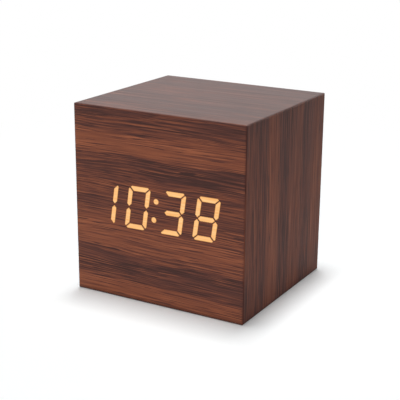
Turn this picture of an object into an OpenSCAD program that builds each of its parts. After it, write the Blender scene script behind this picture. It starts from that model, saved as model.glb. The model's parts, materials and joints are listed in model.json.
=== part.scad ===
// Digital cube alarm clock: a wood-film box whose seven-segment display shines through
// the front, with a moulded back cover that holds the battery bay, three keys and the
// power socket. Millimetres, origin under the middle of the base, front towards -Y, +Z up.

/* [Case] */
// Width of the case
case_w = 62; // [55.5:0.5:70]
// Depth of the case, front to back
case_d = 57; // [54:0.5:68]
// Height of the case
case_h = 63; // [56.5:0.5:72]
// Thickness of the case boards
board_t = 4.5; // [3.5:0.1:5]
// Radius of the softened outer edges
edge_r = 0.6; // [0.4:0.1:1]
// Thickness of the wood film over the front board
film_t = 0.3; // [0.2:0.05:0.4]
// Side of the corner blocks glued in behind the back cover
block_s = 6.5; // [5.5:0.5:7]
// Length of the corner blocks
block_l = 20; // [14:1:22]
// Chamfer along the free edge of each corner block
block_chamfer = 2; // [1:0.5:2.5]

/* [Time shown] */
// Tens of hours
hour_tens = 1; // [0:1:2]
// Hours
hour_ones = 0; // [0:1:9]
// Tens of minutes
minute_tens = 3; // [0:1:5]
// Minutes
minute_ones = 8; // [0:1:9]

/* [Display] */
// Height of a digit
digit_h = 14.2; // [13:0.1:15]
// Width of a digit
digit_w = 8.1; // [7.5:0.1:8.5]
// Width of a segment
stroke_w = 1.6; // [1.3:0.05:1.7]
// Gap between two segments
stroke_gap = 0.4; // [0.2:0.05:0.5]
// How far the segments' sharp tips are cut back
tip_cut = 0.4; // [0.1:0.05:0.5]
// Lean of the digits, in degrees
slant = 9; // [0:1:10]
// Distance between two digits
digit_pitch = 12; // [11.5:0.1:12.2]
// Extra distance between hours and minutes
colon_space = 0.9; // [0.6:0.1:1.4]
// Diameter of a colon dot
colon_d = 1.8; // [1.5:0.1:2]
// Distance between the two colon dots
colon_step = 6.1; // [5:0.1:7]
// Sideways shift of the display from the middle of the front
display_shift = -0.6; // [-0.7:0.1:0.7]
// Height of the display above the middle of the front
display_lift = 0.35; // [-0.5:0.05:0.5]
// Turn of the whole display in its window, in degrees, with the right end up
display_tilt = 1; // [-1.5:0.1:1.5]
// Width of the display housing
module_w = 50.3; // [49.5:0.1:50.4]
// Height of the display housing
module_h = 19; // [18:0.5:21]
// Depth of the display housing
module_depth = 7; // [6:0.5:9]
// Thickness of the light windows in the display housing
lens_t = 2; // [1.5:0.1:3]
// Room round the display housing in the front board
module_fit = 0.2; // [0.1:0.05:0.4]

/* [Circuit boards] */
// Thickness of both circuit boards
pcb_t = 1.6; // [1:0.2:2]
// Height of the display board
display_board_h = 33; // [31:0.5:38]
// Room between the display board and the case sides
board_room = 0.4; // [0.3:0.1:0.8]
// Room round the key board
key_board_room = 0.5; // [0.4:0.1:0.8]
// Outer diameter of the spacers that carry the display board
spacer_d = 4.4; // [4:0.2:5]
// Diameter of the small screws in the circuit boards
small_screw_d = 1.9; // [1.6:0.1:2]
// Diameter of the small screws' heads
small_head_d = 3.6; // [3.2:0.1:4]
// Depth of the small screws in the front board
small_screw_bite = 3; // [2:0.1:3]
// Diameter of the buzzer
buzzer_d = 12; // [9:0.5:12]
// Height of the buzzer
buzzer_h = 8.5; // [6:0.5:9.5]
// Width of the ribbon cable
ribbon_w = 10; // [6:1:12]

/* [Back cover] */
// Thickness of the back cover
cover_t = 2.4; // [2.2:0.1:3]
// How deep the back cover sits inside the case
cover_recess = 1; // [0.8:0.1:2]
// Room round the back cover
cover_fit = 0.2; // [0.1:0.05:0.3]
// Diameter of the cover screws
cover_screw_d = 2.2; // [2:0.1:2.6]
// Diameter of the cover screws' heads
cover_head_d = 4.2; // [3.8:0.1:4.6]
// Length of the cover screws under the head
cover_screw_l = 11; // [8:0.5:14]

/* [Keys and socket] */
// Diameter of a key cap
key_d = 5; // [4.5:0.1:5.4]
// Room round a key cap in the back cover
key_fit = 0.2; // [0.15:0.05:0.3]
// Distance between two keys
key_pitch = 8.5; // [7.5:0.1:8.8]
// How far the keys stand out of the back cover
key_proud = 0.7; // [0.4:0.1:1]
// Travel of a key
key_travel = 0.3; // [0.2:0.05:0.4]
// Side of a key switch
switch_s = 4.5; // [4:0.1:4.5]
// Height of a key switch without its plunger
switch_h = 3.2; // [2.5:0.1:3.5]
// Diameter of a switch plunger
plunger_d = 2.4; // [2:0.1:2.6]
// Length of the bosses that carry the key board
boss_l = 7; // [6.5:0.1:8]
// Diameter of the bosses
boss_d = 3.8; // [3.4:0.1:4]
// Side of the power socket's body
socket_s = 6.4; // [6:0.1:6.8]
// Bore of the power socket
socket_bore_d = 3.8; // [3.4:0.1:4]
// Depth of the power socket's bore
socket_bore_l = 7.5; // [6:0.1:7.5]
// Diameter of the power socket's centre pin
socket_pin_d = 1.3; // [1:0.05:1.35]

/* [Battery bay] */
// Diameter of a cell
cell_d = 10.5; // [9.8:0.1:10.5]
// Length of a cell with its raised terminal
cell_l = 44.5; // [40:0.1:50]
// Room round a cell
cell_fit = 0.3; // [0.2:0.05:0.4]
// Width of the ridge left between two cell channels
cell_ridge = 0.3; // [0.2:0.05:0.5]
// Wall of the battery bay
bay_wall = 1.1; // [0.9:0.05:1.2]
// Floor of the battery bay under the cells
bay_floor = 1.4; // [1:0.1:2]
// Length of a compressed contact spring
spring_l = 3.6; // [3.2:0.1:3.8]
// Turns of a contact spring
spring_turns = 3; // [2:0.5:3]
// Wire of a contact spring
spring_wire_d = 0.4; // [0.3:0.05:0.45]
// Thickness of the contact plates
contact_t = 0.25; // [0.2:0.05:0.3]
// Height of the dimple that meets a raised terminal
dimple_h = 0.4; // [0.3:0.05:0.5]
// Thickness of the battery door
door_t = 1.4; // [1.2:0.1:1.5]
// Room round the battery door
door_fit = 0.25; // [0.2:0.05:0.35]
// Width of the ledge that the battery door lies on
ledge_w = 1.2; // [1:0.1:1.3]
// Width of each hook of the battery door
hook_w = 6; // [4:0.5:7]
// Distance between the two hooks
hook_step = 36; // [34:0.5:37]
// Width of the battery door's latch tongue
tongue_w = 10; // [8:0.5:12]

/* [Hidden] */
$fn = 64;

// Case
front_y = -case_d / 2;
back_y = case_d / 2;
film_back_y = front_y + film_t;
front_inner_y = front_y + board_t;
// Light room that keeps screws free in their holes and glued round parts free in theirs
hole_fit = 0.05;
// Cuts run this far past the faces that they open
past = 1;
// Room round a screw in a hole that it only passes through
small_hole_room = 0.2;
// Room round a sunk screw head
head_room = 0.2;

// What the case has to hold. Across: the display housing in its frame, or the battery bay.
// Upwards: the lower corner blocks, the battery bay and the strip with the keys.
front_rim = 0.1;
tilt_reach = sin(abs(display_tilt));
display_board_w = module_w;
display_need_w = 2 * abs(display_shift) + max(module_w + module_h * tilt_reach + 2 * (module_fit + front_rim),
    display_board_w + display_board_h * tilt_reach + 2 * board_room);
bay_w = cell_l + spring_l + dimple_h + 2 * contact_t;
bay_gap = 0.4;
bay_need_w = bay_w + 2 * (bay_wall + bay_gap);
cell_pitch = cell_d + 2 * cell_fit + cell_ridge;
bay_h = 3 * cell_pitch;
block_gap = 0.5;
key_flange_rim = 0.7;
key_flange_d = key_d + 2 * key_flange_rim;
strip_margin = 1.6;
strip_need_h = max(socket_s, key_flange_d) + 2 * strip_margin;
need_h = block_s + block_gap + bay_h + 2 * bay_wall + strip_need_h;
// The boards are board_t thick, or thinner where the contents need the room
inner_w = max(case_w - 2 * board_t, display_need_w, bay_need_w);
inner_h = max(case_h - 2 * board_t, need_h);
inner_floor_z = (case_h - inner_h) / 2;
inner_top_z = case_h - inner_floor_z;

// Display, laid out round its own centre
display_z = case_h / 2 + display_lift;
housing_back_y = film_back_y + module_depth;
display_board_back_y = housing_back_y + pcb_t;
half_w = digit_w / 2;
half_h = digit_h / 2;
// A gap measured across a 45 degree joint, taken along either stroke
mitre_gap = stroke_gap / sqrt(2);
digits = [hour_tens, hour_ones, minute_tens, minute_ones];
digit_x = [for (i = [0:3]) (i - 1.5) * digit_pitch + (i < 2 ? -1 : 1) * colon_space / 2];
// Strokes lit for each digit from 0 to 9, named a to g clockwise from the top, g in the middle
lit_strokes = ["abcdef", "bc", "abdeg", "abcdg", "bcfg", "acdfg", "acdefg", "abc", "abcdefg", "abcdfg"];
stroke_names = ["a", "b", "c", "d", "e", "f", "g"];
led_l = 1.2;
led_w = 0.8;
led_h = 0.6;
peg_d = 1.5;
peg_inset = 1.3;
peg_root = 1;
display_screw_x = module_w / 2 - spacer_d;
spacer_gap = 0.8;
display_screw_z = module_h / 2 + module_fit + spacer_gap + spacer_d / 2;
small_head_h = 1.2;
screw_slot_w = 0.5;
screw_slot_depth = 0.6;
screw_slot_share = 0.6;

// Parts on the back of the display board, placed from the display's centre
chip_at = [-10, 5.5];
chip_w = 10.3;
chip_h = 7.5;
chip_t = 2.3;
chip_rise = 0.2;
chip_leg_pitch = 1.27;
chip_legs_a_side = 8;
chip_leg_w = 0.4;
chip_leg_t = 0.2;
chip_leg_run = 0.6;
chip_mark_d = 1;
chip_mark_depth = 0.1;
crystal_at = [4, 9];
crystal_d = 3;
crystal_l = 8;
crystal_lead_l = 1.5;
crystal_lead_t = 0.4;
crystal_lead_step = 1.1;
buzzer_inset = 14.5;
buzzer_at = [display_board_w / 2 - buzzer_inset, -6];
buzzer_hole_d = 2;
buzzer_hole_l = 3;
capacitor_inset = 8.5;
capacitor_at = [capacitor_inset - display_board_w / 2, -6];
capacitor_d = 6.3;
capacitor_h = 7.5;
capacitor_foot = 1;
capacitor_fit = 0.3;
sensor_at = [-6, -9];
sensor_d = 2.4;
sensor_lead_d = 0.5;
sensor_lead_l = 6;
sensor_lead_step = 1.2;
ribbon_socket_drop = 3;
ribbon_socket_h = 3;
ribbon_socket_t = 4;
ribbon_socket_wall = 1;
ribbon_t = 1;
ribbon_steps = 14;
ribbon_straight = 2;

// Back cover and battery bay
cover_out_y = back_y - cover_recess;
cover_in_y = cover_out_y - cover_t;
cover_w = inner_w - 2 * cover_fit;
cover_h = inner_h - 2 * cover_fit;
cover_screw_x = inner_w / 2 - block_s / 2;
cover_screw_z = [inner_floor_z + block_s / 2, inner_top_z - block_s / 2];
cover_head_h = 1.4;
cover_head_sink = 1;
cell_gap_to_cover = 0.3;
cell_y = cover_in_y - cell_gap_to_cover - cell_d / 2;
channel_r = cell_d / 2 + cell_fit;
bay_z0 = inner_floor_z + block_s + block_gap + bay_wall;
bay_z1 = bay_z0 + bay_h;
bay_front_y = cell_y - channel_r - bay_floor;
// The channels' ridges end this far below the cells' axes
ridge_drop = 2;
cell_z = [for (i = [0:2]) bay_z0 + (i + 0.5) * cell_pitch];
// Which way each cell's raised terminal points
cell_way = [1, -1, 1];

// Battery door, hooked under the lower edge of its opening
opening_room = 2;
opening_w = cell_l + opening_room;
door_bed_gap = 0.1;
recess_depth = door_t + door_bed_gap;
door_w = opening_w + 2 * ledge_w - 2 * door_fit;
door_z0 = bay_z0 - ledge_w + door_fit;
door_z1 = bay_z1 + ledge_w - door_fit;
door_in_y = cover_out_y - door_t;
hinge_y = cover_out_y - door_t / 2;
hinge_z = door_z0 + door_t / 2;
hook_t = 1;
hook_clear = 0.25;
hook_reach = 1.1;
hook_toe_z = hinge_z - hook_reach;
hook_slot_depth = 2.2;
tongue_l = 8;
tongue_slit = 0.7;
tongue_rib_r = 0.4;
tongue_rib_step = 1.5;
tongue_rib_side = 1;
tongue_ribs = 4;
nib_h = 1;
door_rib_x = 14;
door_rib_t = 1;
door_rib_h = 0.8;
door_rib_end = 4;
scoop_r = 6;
scoop_rise = 1.9;
scoop_depth = 1;

// Keys, switches and power socket, in the strip above the battery bay
strip_z0 = bay_z1 + bay_wall;
key_z = (strip_z0 + inner_top_z - cover_fit) / 2;
key_board_w = inner_w - 2 * (block_s + key_board_room);
key_row_gap = 0.3;
key_board_h = inner_top_z - strip_z0 - 2 * key_board_room;
key_face_y = cover_in_y - boss_l;
key_front_y = key_face_y - pcb_t;
// From the right end of the key board: a boss, three keys, the other boss, the socket
end_boss_x = (key_board_w - boss_d) / 2;
key_x = [for (i = [0:2]) end_boss_x - boss_d / 2 - key_row_gap - key_flange_d / 2 - i * key_pitch];
mid_boss_x = key_x[2] - key_flange_d / 2 - key_row_gap - boss_d / 2;
boss_x = [mid_boss_x, end_boss_x];
socket_x = mid_boss_x - boss_d / 2 - key_row_gap - socket_s / 2;
boss_bite = 5.5;
plunger_seat = 1;
plunger_up = 1.3;
plunger_top_y = key_face_y + switch_h + plunger_up;
key_flange_t = 1;
key_stop_gap = 0.3;
key_stem_d = 2.8;
key_chamfer = 0.4;
key_dish = 0.15;
key_dish_r = 10;
socket_collar_d = 5.6;
socket_collar_fit = 0.2;
socket_set_back = 0.5;
socket_mouth_y = cover_out_y - socket_set_back;
socket_floor_y = socket_mouth_y - socket_bore_l;
socket_pin_back = 0.8;

// Sound holes and microphone, in the strip under the battery bay
low_strip_z = (inner_floor_z + cover_fit + bay_z0 - bay_wall) / 2;
sound_slot_w = 1.2;
sound_slot_l = 4;
sound_slot_step = 2.4;
sound_slots = 5;
mic_x = 10.5;
mic_d = 4.5;
mic_t = 2.4;
mic_hole_d = 1.2;
mic_collar_t = 1;

// Cells and contacts
jacket_t = 0.2;
terminal_d = 3.8;
terminal_h = 1;
jacket_back = 0.6;
plate_s = 8;
dimple_r = 1.7;
tag_w = 2.4;
tag_l = 1.5;
tag_fit = 0.2;
spring_base_r = 3.6;
spring_tip_r = 2.2;
rings_a_turn = 8;
tube_sides = 6;
spring_touch = 0.05;

// Battery leads: one runs down each side of the bay, up to the key board
lead_d = 1.2;
lead_sides = 8;
lead_steps = 3;
lead_drop = 2.6;
lead_run_y = bay_front_y - tag_l - lead_drop;
tag_tip_y = bay_front_y - tag_l;
tag_x = bay_w / 2 - contact_t / 2;
lead_gap = 1.2;
lead_end_x = end_boss_x - small_head_d / 2 - lead_gap - lead_d / 2;
lead_end_z = key_z - 1;
red_lead = [
    [tag_x, tag_tip_y, cell_z[2]],
    [tag_x, tag_tip_y - lead_d, cell_z[2]],
    [tag_x - 1, lead_run_y, cell_z[2] + 2.5],
    [tag_x - 4.5, lead_run_y, strip_z0 - 0.5],
    [lead_end_x + 0.4, lead_run_y + 2.5, lead_end_z - 1],
    [lead_end_x, key_front_y - 2 * lead_d, lead_end_z],
    [lead_end_x, key_front_y, lead_end_z]
];
black_lead = [
    [-tag_x, tag_tip_y, cell_z[0]],
    [-tag_x, tag_tip_y - lead_d, cell_z[0]],
    [-tag_x + 0.6, lead_run_y, cell_z[0] + 3],
    [-tag_x + 1, lead_run_y, cell_z[1]],
    [-tag_x + 1.4, lead_run_y, cell_z[2]],
    [-tag_x + 4.5, lead_run_y, strip_z0 - 0.5],
    [-lead_end_x - 0.4, lead_run_y + 2.5, lead_end_z - 1],
    [-lead_end_x, key_front_y - 2 * lead_d, lead_end_z],
    [-lead_end_x, key_front_y, lead_end_z]
];

// Colours
wood_brown = [0.36, 0.19, 0.13];
board_tan = [0.62, 0.48, 0.33];
light_amber = [1, 0.78, 0.47];
lens_grey = [0.55, 0.52, 0.48];
housing_grey = [0.25, 0.25, 0.26];
board_green = [0.1, 0.32, 0.2];
part_black = [0.1, 0.1, 0.1];
metal_grey = [0.72, 0.72, 0.72];
cover_black = [0.09, 0.09, 0.1];
jacket_blue = [0.16, 0.27, 0.42];

// Shared shapes

// An outline drawn in (x, z), filled from depth y0 to depth y1
module slab(y0, y1) {
    translate([0, y1, 0]) rotate([90, 0, 0]) linear_extrude(y1 - y0) children();
}

// An outline drawn in (y, z), filled from x0 to x1
module strip(x0, x1) {
    translate([x0, 0, 0]) rotate([90, 0, 90]) linear_extrude(x1 - x0) children();
}

// A box between two corners
module box(low, high) {
    translate(low) cube(high - low);
}

// A rectangle between two corners
module area(low, high) {
    translate(low) square(high - low);
}

// A round bar along Y, from depth y0 to depth y1
module rod(d, x, z, y0, y1) {
    translate([x, y1, z]) rotate([90, 0, 0]) cylinder(d = d, h = y1 - y0);
}

// A round bar along X, from x0 to x1
module bar(d, y, z, x0, x1) {
    translate([x0, y, z]) rotate([0, 90, 0]) cylinder(d = d, h = x1 - x0);
}

// A rectangle with round corners, centred
module rounded_area(w, h, r) {
    square([w - 2 * r, h], center = true);
    square([w, h - 2 * r], center = true);
    for (x = [-1, 1], z = [-1, 1]) {
        translate([x * (w / 2 - r), z * (h / 2 - r)]) circle(r = r);
    }
}

// A cross-head screw whose head stands towards +Y from depth seat_y
module screw(d, length, head_d, head_h, x, z, seat_y) {
    difference() {
        union() {
            rod(d, x, z, seat_y - length, seat_y);
            rod(head_d, x, z, seat_y, seat_y + head_h);
        }
        for (turn = [0, 90]) {
            translate([x, seat_y + head_h, z]) rotate([0, turn, 0])
                cube([screw_slot_share * head_d, 2 * screw_slot_depth, screw_slot_w], center = true);
        }
    }
}

// Tubes swept along points
function unit(v) = v / norm(v);
function tangent(p, i) = unit(p[min(i + 1, len(p) - 1)] - p[max(i - 1, 0)]);
function ring(p, i, r, sides, aside) =
    let (t = tangent(p, i), u = unit(cross(aside, t)), v = cross(t, u))
    [for (k = [0:sides - 1]) p[i] + r * (cos(360 * k / sides) * u + sin(360 * k / sides) * v)];

// A closed tube; aside gives each point a direction that the tube doesn't run along there
module tube(p, aside, d, sides) {
    last = len(p) - 1;
    corners = [for (i = [0:last]) each ring(p, i, d / 2, sides, aside[i])];
    walls = [for (i = [0:last - 1], k = [0:sides - 1])
        let (a = i * sides + k, b = i * sides + (k + 1) % sides)
        each [[a, a + sides, b], [b, a + sides, b + sides]]];
    start = [for (k = [1:sides - 2]) [0, k, k + 1]];
    end = [for (k = [1:sides - 2]) [last * sides, last * sides + k + 1, last * sides + k]];
    polyhedron(corners, concat(walls, start, end));
}

// A smooth curve through all points, with steps points to each stretch
function smooth(p, steps) = let (n = len(p) - 1) concat(
    [for (i = [0:n - 1], s = [0:steps - 1])
        let (t = s / steps, a = p[max(i - 1, 0)], b = p[i], c = p[i + 1], d = p[min(i + 2, n)])
        b + (c - a) * t / 2 + (2 * a - 5 * b + 4 * c - d) * t * t / 2
            + (3 * b - a - 3 * c + d) * t * t * t / 2],
    [p[n]]);

// Case

// The whole case as one block with softened edges
module case_block() {
    intersection() {
        slab(front_y, back_y) translate([0, case_h / 2]) rounded_area(case_w, case_h, edge_r);
        strip(-case_w / 2, case_w / 2) translate([0, case_h / 2]) rounded_area(case_d, case_h, edge_r);
        linear_extrude(case_h) rounded_area(case_w, case_d, edge_r);
    }
}

// A lying board: mitred to both sides and to the front, square at the back
module lying_board() {
    intersection() {
        case_block();
        slab(front_y, back_y) polygon([
            [-case_w / 2, case_h], [case_w / 2, case_h],
            [inner_w / 2, inner_top_z], [-inner_w / 2, inner_top_z]]);
        strip(-case_w / 2, case_w / 2) polygon([
            [front_y, case_h], [back_y, case_h], [back_y, inner_top_z], [front_inner_y, inner_top_z]]);
    }
}

// A standing side board, mitred at the top, the bottom and the front
module standing_board() {
    intersection() {
        case_block();
        slab(front_y, back_y) polygon([
            [case_w / 2, 0], [case_w / 2, case_h],
            [inner_w / 2, inner_top_z], [inner_w / 2, inner_floor_z]]);
        linear_extrude(case_h) polygon([
            [case_w / 2, front_y], [case_w / 2, back_y],
            [inner_w / 2, back_y], [inner_w / 2, front_inner_y]]);
    }
}

// The part of the front between two depths, mitred all round
module front_layer(y0, y1) {
    intersection() {
        case_block();
        strip(-case_w / 2, case_w / 2) polygon([
            [front_y, 0], [front_y, case_h],
            [front_inner_y, inner_top_z], [front_inner_y, inner_floor_z]]);
        linear_extrude(case_h) polygon([
            [-case_w / 2, front_y], [case_w / 2, front_y],
            [inner_w / 2, front_inner_y], [-inner_w / 2, front_inner_y]]);
        slab(y0, y1) area([-case_w / 2, 0], [case_w / 2, case_h]);
    }
}

module top_board() {
    color(wood_brown) lying_board();
}

module bottom_board() {
    color(wood_brown) translate([0, 0, case_h]) mirror([0, 0, 1]) lying_board();
}

module right_board() {
    color(wood_brown) standing_board();
}

module left_board() {
    color(wood_brown) mirror([1, 0, 0]) standing_board();
}

module front_film() {
    color(wood_brown) difference() {
        front_layer(front_y, film_back_y);
        strokes(true, front_y - past, film_back_y + past);
        dots(colon_d + 2 * hole_fit, front_y - past, film_back_y + past);
    }
}

module front_board() {
    half = [module_w / 2 + module_fit, module_h / 2 + module_fit];
    color(board_tan) difference() {
        front_layer(film_back_y, front_inner_y);
        at_display() slab(film_back_y - past, front_inner_y + past) area(-half, half);
        each_display_screw() rod(small_screw_d + 2 * hole_fit, 0, 0,
            front_inner_y - small_screw_bite - hole_fit, front_inner_y + past);
    }
}

module corner_blocks() {
    half = inner_w / 2;
    color(board_tan) for (side = [0, 1], end = [0, 1]) {
        difference() {
            translate([0, 0, end * case_h]) mirror([0, 0, end]) mirror([side, 0, 0])
                translate([0, 0, inner_floor_z]) slab(cover_in_y - block_l, cover_in_y) polygon([
                    [half, 0], [half, block_s], [half - block_s + block_chamfer, block_s],
                    [half - block_s, block_s - block_chamfer], [half - block_s, 0]]);
            rod(cover_screw_d + 2 * hole_fit, (1 - 2 * side) * cover_screw_x, cover_screw_z[end],
                cover_in_y - cover_screw_l, cover_in_y + past);
        }
    }
}

// Display

module at_display() {
    translate([display_shift, 0, display_z]) rotate([0, -display_tilt, 0]) children();
}

module each_display_screw() {
    at_display() for (x = [-1, 1], z = [-1, 1]) {
        translate([x * display_screw_x, 0, z * display_screw_z]) children();
    }
}

// A point of an upright digit, leaned over
function leaned(p) = [p[0] + p[1] * tan(slant), p[1]];

// The top stroke, with both ends mitred at 45 degrees
function top_stroke() = let (end = half_w - mitre_gap, nose = end - tip_cut, inner = end - stroke_w)
    [[tip_cut - nose, half_h], [nose - tip_cut, half_h], [nose, half_h - tip_cut],
     [inner, half_h - stroke_w], [-inner, half_h - stroke_w], [-nose, half_h - tip_cut]];

// The upper right stroke, mitred at its top and pointed at its foot
function side_stroke() = let (end = half_h - mitre_gap, foot = mitre_gap + stroke_w / 2)
    [[half_w, end - 2 * tip_cut], [half_w - tip_cut, end - tip_cut],
     [half_w - stroke_w, end - stroke_w], [half_w - stroke_w, foot],
     [half_w - stroke_w / 2, mitre_gap], [half_w, foot]];

// The middle stroke, pointed at both ends
function middle_stroke() = let (end = half_w - stroke_w / 2 - mitre_gap, shoulder = end - stroke_w / 2)
    [[-end, 0], [-shoulder, stroke_w / 2], [shoulder, stroke_w / 2],
     [end, 0], [shoulder, -stroke_w / 2], [-shoulder, -stroke_w / 2]];

function is_one_of(name, names) = len(search(name, names)) > 0;

// The upright outline of a stroke named a to g
function stroke(name) =
    let (flip_x = is_one_of(name, "ef") ? -1 : 1, flip_z = is_one_of(name, "cde") ? -1 : 1)
    [for (p = name == "g" ? middle_stroke() : is_one_of(name, "ad") ? top_stroke() : side_stroke())
        [flip_x * p[0], flip_z * p[1]]];

// The middle of a stroke, where its light sits
function stroke_middle(name) =
    let (x = is_one_of(name, "bc") ? 1 : is_one_of(name, "ef") ? -1 : 0,
         z = name == "a" ? 2 : name == "d" ? -2 : is_one_of(name, "bf") ? 1 : is_one_of(name, "ce") ? -1 : 0)
    [x * (half_w - stroke_w / 2), z * (half_h - stroke_w / 2) / 2];

// All strokes that are lit, or all that are not, from depth y0 to depth y1
module strokes(lit, y0, y1) {
    at_display() for (i = [0:3], name = stroke_names) {
        if (is_one_of(name, lit_strokes[digits[i]]) == lit) {
            translate([digit_x[i], 0, 0]) slab(y0, y1) polygon([for (p = stroke(name)) leaned(p)]);
        }
    }
}

module each_dot() {
    at_display() for (z = [-1, 1] * colon_step / 2) {
        translate([z * tan(slant), 0, z]) children();
    }
}

// Both colon dots, from depth y0 to depth y1
module dots(d, y0, y1) {
    each_dot() rod(d, 0, 0, y0, y1);
}

// Opaque housing with a light well behind every stroke and dot, pegged into the display board
module display_housing() {
    half = [module_w / 2, module_h / 2];
    color(housing_grey) {
        difference() {
            at_display() slab(film_back_y, housing_back_y) area(-half, half);
            strokes(true, film_back_y - past, housing_back_y + past);
            strokes(false, film_back_y - past, housing_back_y + past);
            dots(colon_d + 2 * hole_fit, film_back_y - past, housing_back_y + past);
        }
        each_peg() rod(peg_d, 0, 0, housing_back_y - peg_root, display_board_back_y);
    }
}

module each_peg() {
    at_display() for (side = [-1, 1]) {
        translate([side * (module_w / 2 - peg_inset), 0, side * (module_h / 2 - peg_inset)]) children();
    }
}

module lit_segments() {
    color(light_amber) {
        strokes(true, front_y, film_back_y + lens_t);
        dots(colon_d, front_y, film_back_y + lens_t);
    }
}

module unlit_segments() {
    color(lens_grey) strokes(false, film_back_y, film_back_y + lens_t);
}

module led(turn) {
    rotate([0, turn, 0]) translate([-led_l / 2, housing_back_y - led_h, -led_w / 2])
        cube([led_l, led_h, led_w]);
}

module segment_leds() {
    color("white") {
        at_display() for (i = [0:3], name = stroke_names) {
            at = leaned(stroke_middle(name));
            translate([digit_x[i] + at[0], 0, at[1]]) led(is_one_of(name, "adg") ? 0 : 90 + slant);
        }
        each_dot() led(0);
    }
}

module display_board() {
    half = [display_board_w / 2, display_board_h / 2];
    color(board_green) difference() {
        at_display() slab(housing_back_y, display_board_back_y) area(-half, half);
        each_display_screw() rod(small_screw_d + 2 * small_hole_room, 0, 0,
            housing_back_y - past, display_board_back_y + past);
        each_peg() rod(peg_d + 2 * hole_fit, 0, 0, housing_back_y - past, display_board_back_y + past);
    }
}

module display_spacers() {
    color("ivory") each_display_screw() difference() {
        rod(spacer_d, 0, 0, front_inner_y, housing_back_y);
        rod(small_screw_d + 2 * small_hole_room, 0, 0, front_inner_y - past, housing_back_y + past);
    }
}

module display_screws() {
    length = display_board_back_y - front_inner_y + small_screw_bite;
    color(metal_grey) each_display_screw()
        screw(small_screw_d, length, small_head_d, small_head_h, 0, 0, display_board_back_y);
}

// A place on the back of the display board, with the board's face at zero depth
module on_display_board(at) {
    at_display() translate([at[0], display_board_back_y, at[1]]) children();
}

module clock_chip() {
    color(part_black) on_display_board(chip_at) difference() {
        translate([-chip_w / 2, chip_rise, -chip_h / 2]) cube([chip_w, chip_t, chip_h]);
        rod(chip_mark_d, chip_mark_d - chip_w / 2, chip_mark_d - chip_h / 2,
            chip_rise + chip_t - chip_mark_depth, chip_rise + chip_t + past);
    }
}

// Bent legs along both long sides of the chip
module chip_legs() {
    shoulder_y = chip_rise + chip_t / 2;
    color(metal_grey) on_display_board(chip_at) for (side = [0, 1], i = [0:chip_legs_a_side - 1]) {
        x = (i - (chip_legs_a_side - 1) / 2) * chip_leg_pitch;
        mirror([0, 0, side]) strip(x - chip_leg_w / 2, x + chip_leg_w / 2)
            translate([0, chip_h / 2]) polygon([
                [shoulder_y, 0], [shoulder_y, chip_leg_run], [chip_leg_t, chip_leg_run],
                [chip_leg_t, 2 * chip_leg_run], [0, 2 * chip_leg_run], [0, chip_leg_run - chip_leg_t],
                [shoulder_y - chip_leg_t, chip_leg_run - chip_leg_t], [shoulder_y - chip_leg_t, 0]]);
    }
}

// Crystal can lying on the board, with its two leads bent down to it
module quartz_crystal() {
    color(metal_grey) on_display_board(crystal_at) {
        bar(crystal_d, crystal_d / 2, 0, 0, crystal_l);
        for (z = [-1, 1] * crystal_lead_step / 2) {
            box([-crystal_lead_l, 0, z - crystal_lead_t / 2],
                [crystal_lead_t - crystal_lead_l, crystal_d / 2, z + crystal_lead_t / 2]);
            box([-crystal_lead_l, crystal_d / 2 - crystal_lead_t, z - crystal_lead_t / 2],
                [past, crystal_d / 2, z + crystal_lead_t / 2]);
        }
    }
}

module buzzer() {
    color(part_black) on_display_board(buzzer_at) difference() {
        rod(buzzer_d, 0, 0, 0, buzzer_h);
        rod(buzzer_hole_d, 0, 0, buzzer_h - buzzer_hole_l, buzzer_h + past);
    }
}

module smoothing_capacitor() {
    color(metal_grey) on_display_board(capacitor_at) {
        box([-1, 0, -1] * capacitor_d / 2, [capacitor_d / 2, capacitor_foot, capacitor_d / 2]);
        rod(capacitor_d - capacitor_fit, 0, 0, 0, capacitor_h);
    }
}

// Sealed bead on two leads, held clear of the board's own warmth
module temperature_sensor() {
    color(part_black) on_display_board(sensor_at) {
        translate([0, sensor_lead_l, 0]) sphere(d = sensor_d);
        for (x = [-1, 1] * sensor_lead_step / 2) {
            rod(sensor_lead_d, x, 0, 0, sensor_lead_l);
        }
    }
}

// Ribbon between the two boards, behind the middle key
ribbon_x = key_x[1];
display_socket_z = display_z + display_board_h / 2 - ribbon_socket_drop;
ribbon_y0 = display_board_back_y + ribbon_socket_h;
ribbon_y1 = key_front_y - ribbon_socket_h;

module ribbon_sockets() {
    half = ribbon_w / 2 + ribbon_socket_wall;
    color("ivory") translate([ribbon_x, 0, 0]) {
        box([-half, display_board_back_y, display_socket_z - ribbon_socket_t / 2],
            [half, ribbon_y0, display_socket_z + ribbon_socket_t / 2]);
        box([-half, ribbon_y1, key_z - ribbon_socket_t / 2],
            [half, key_front_y, key_z + ribbon_socket_t / 2]);
    }
}

// Height of the ribbon's middle at a share of its way from board to board
function ribbon_z(share) = display_socket_z + (key_z - display_socket_z) * (1 - cos(180 * share)) / 2;

module ribbon_cable() {
    rise_l = ribbon_y1 - ribbon_y0 - 2 * ribbon_straight;
    run = [for (i = [0:ribbon_steps]) let (share = i / ribbon_steps)
        [ribbon_y0 + ribbon_straight + rise_l * share, ribbon_z(share)]];
    middle = concat([[ribbon_y0, display_socket_z]], run, [[ribbon_y1, key_z]]);
    count = len(middle);
    color("silver") strip(ribbon_x - ribbon_w / 2, ribbon_x + ribbon_w / 2) polygon(concat(
        [for (p = middle) p + [0, ribbon_t / 2]],
        [for (i = [count - 1:-1:0]) middle[i] - [0, ribbon_t / 2]]));
}

// Back cover

// Slot along an end wall of the bay for contacts of width w, between heights z0 and z1
module contact_slot(side, w, z0, z1, y0) {
    mirror([side, 0, 0]) box([bay_w / 2 - contact_t - tag_fit, y0, z0 - w / 2 - tag_fit],
        [bay_w / 2, cell_y, z1 + w / 2 + tag_fit]);
}

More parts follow.
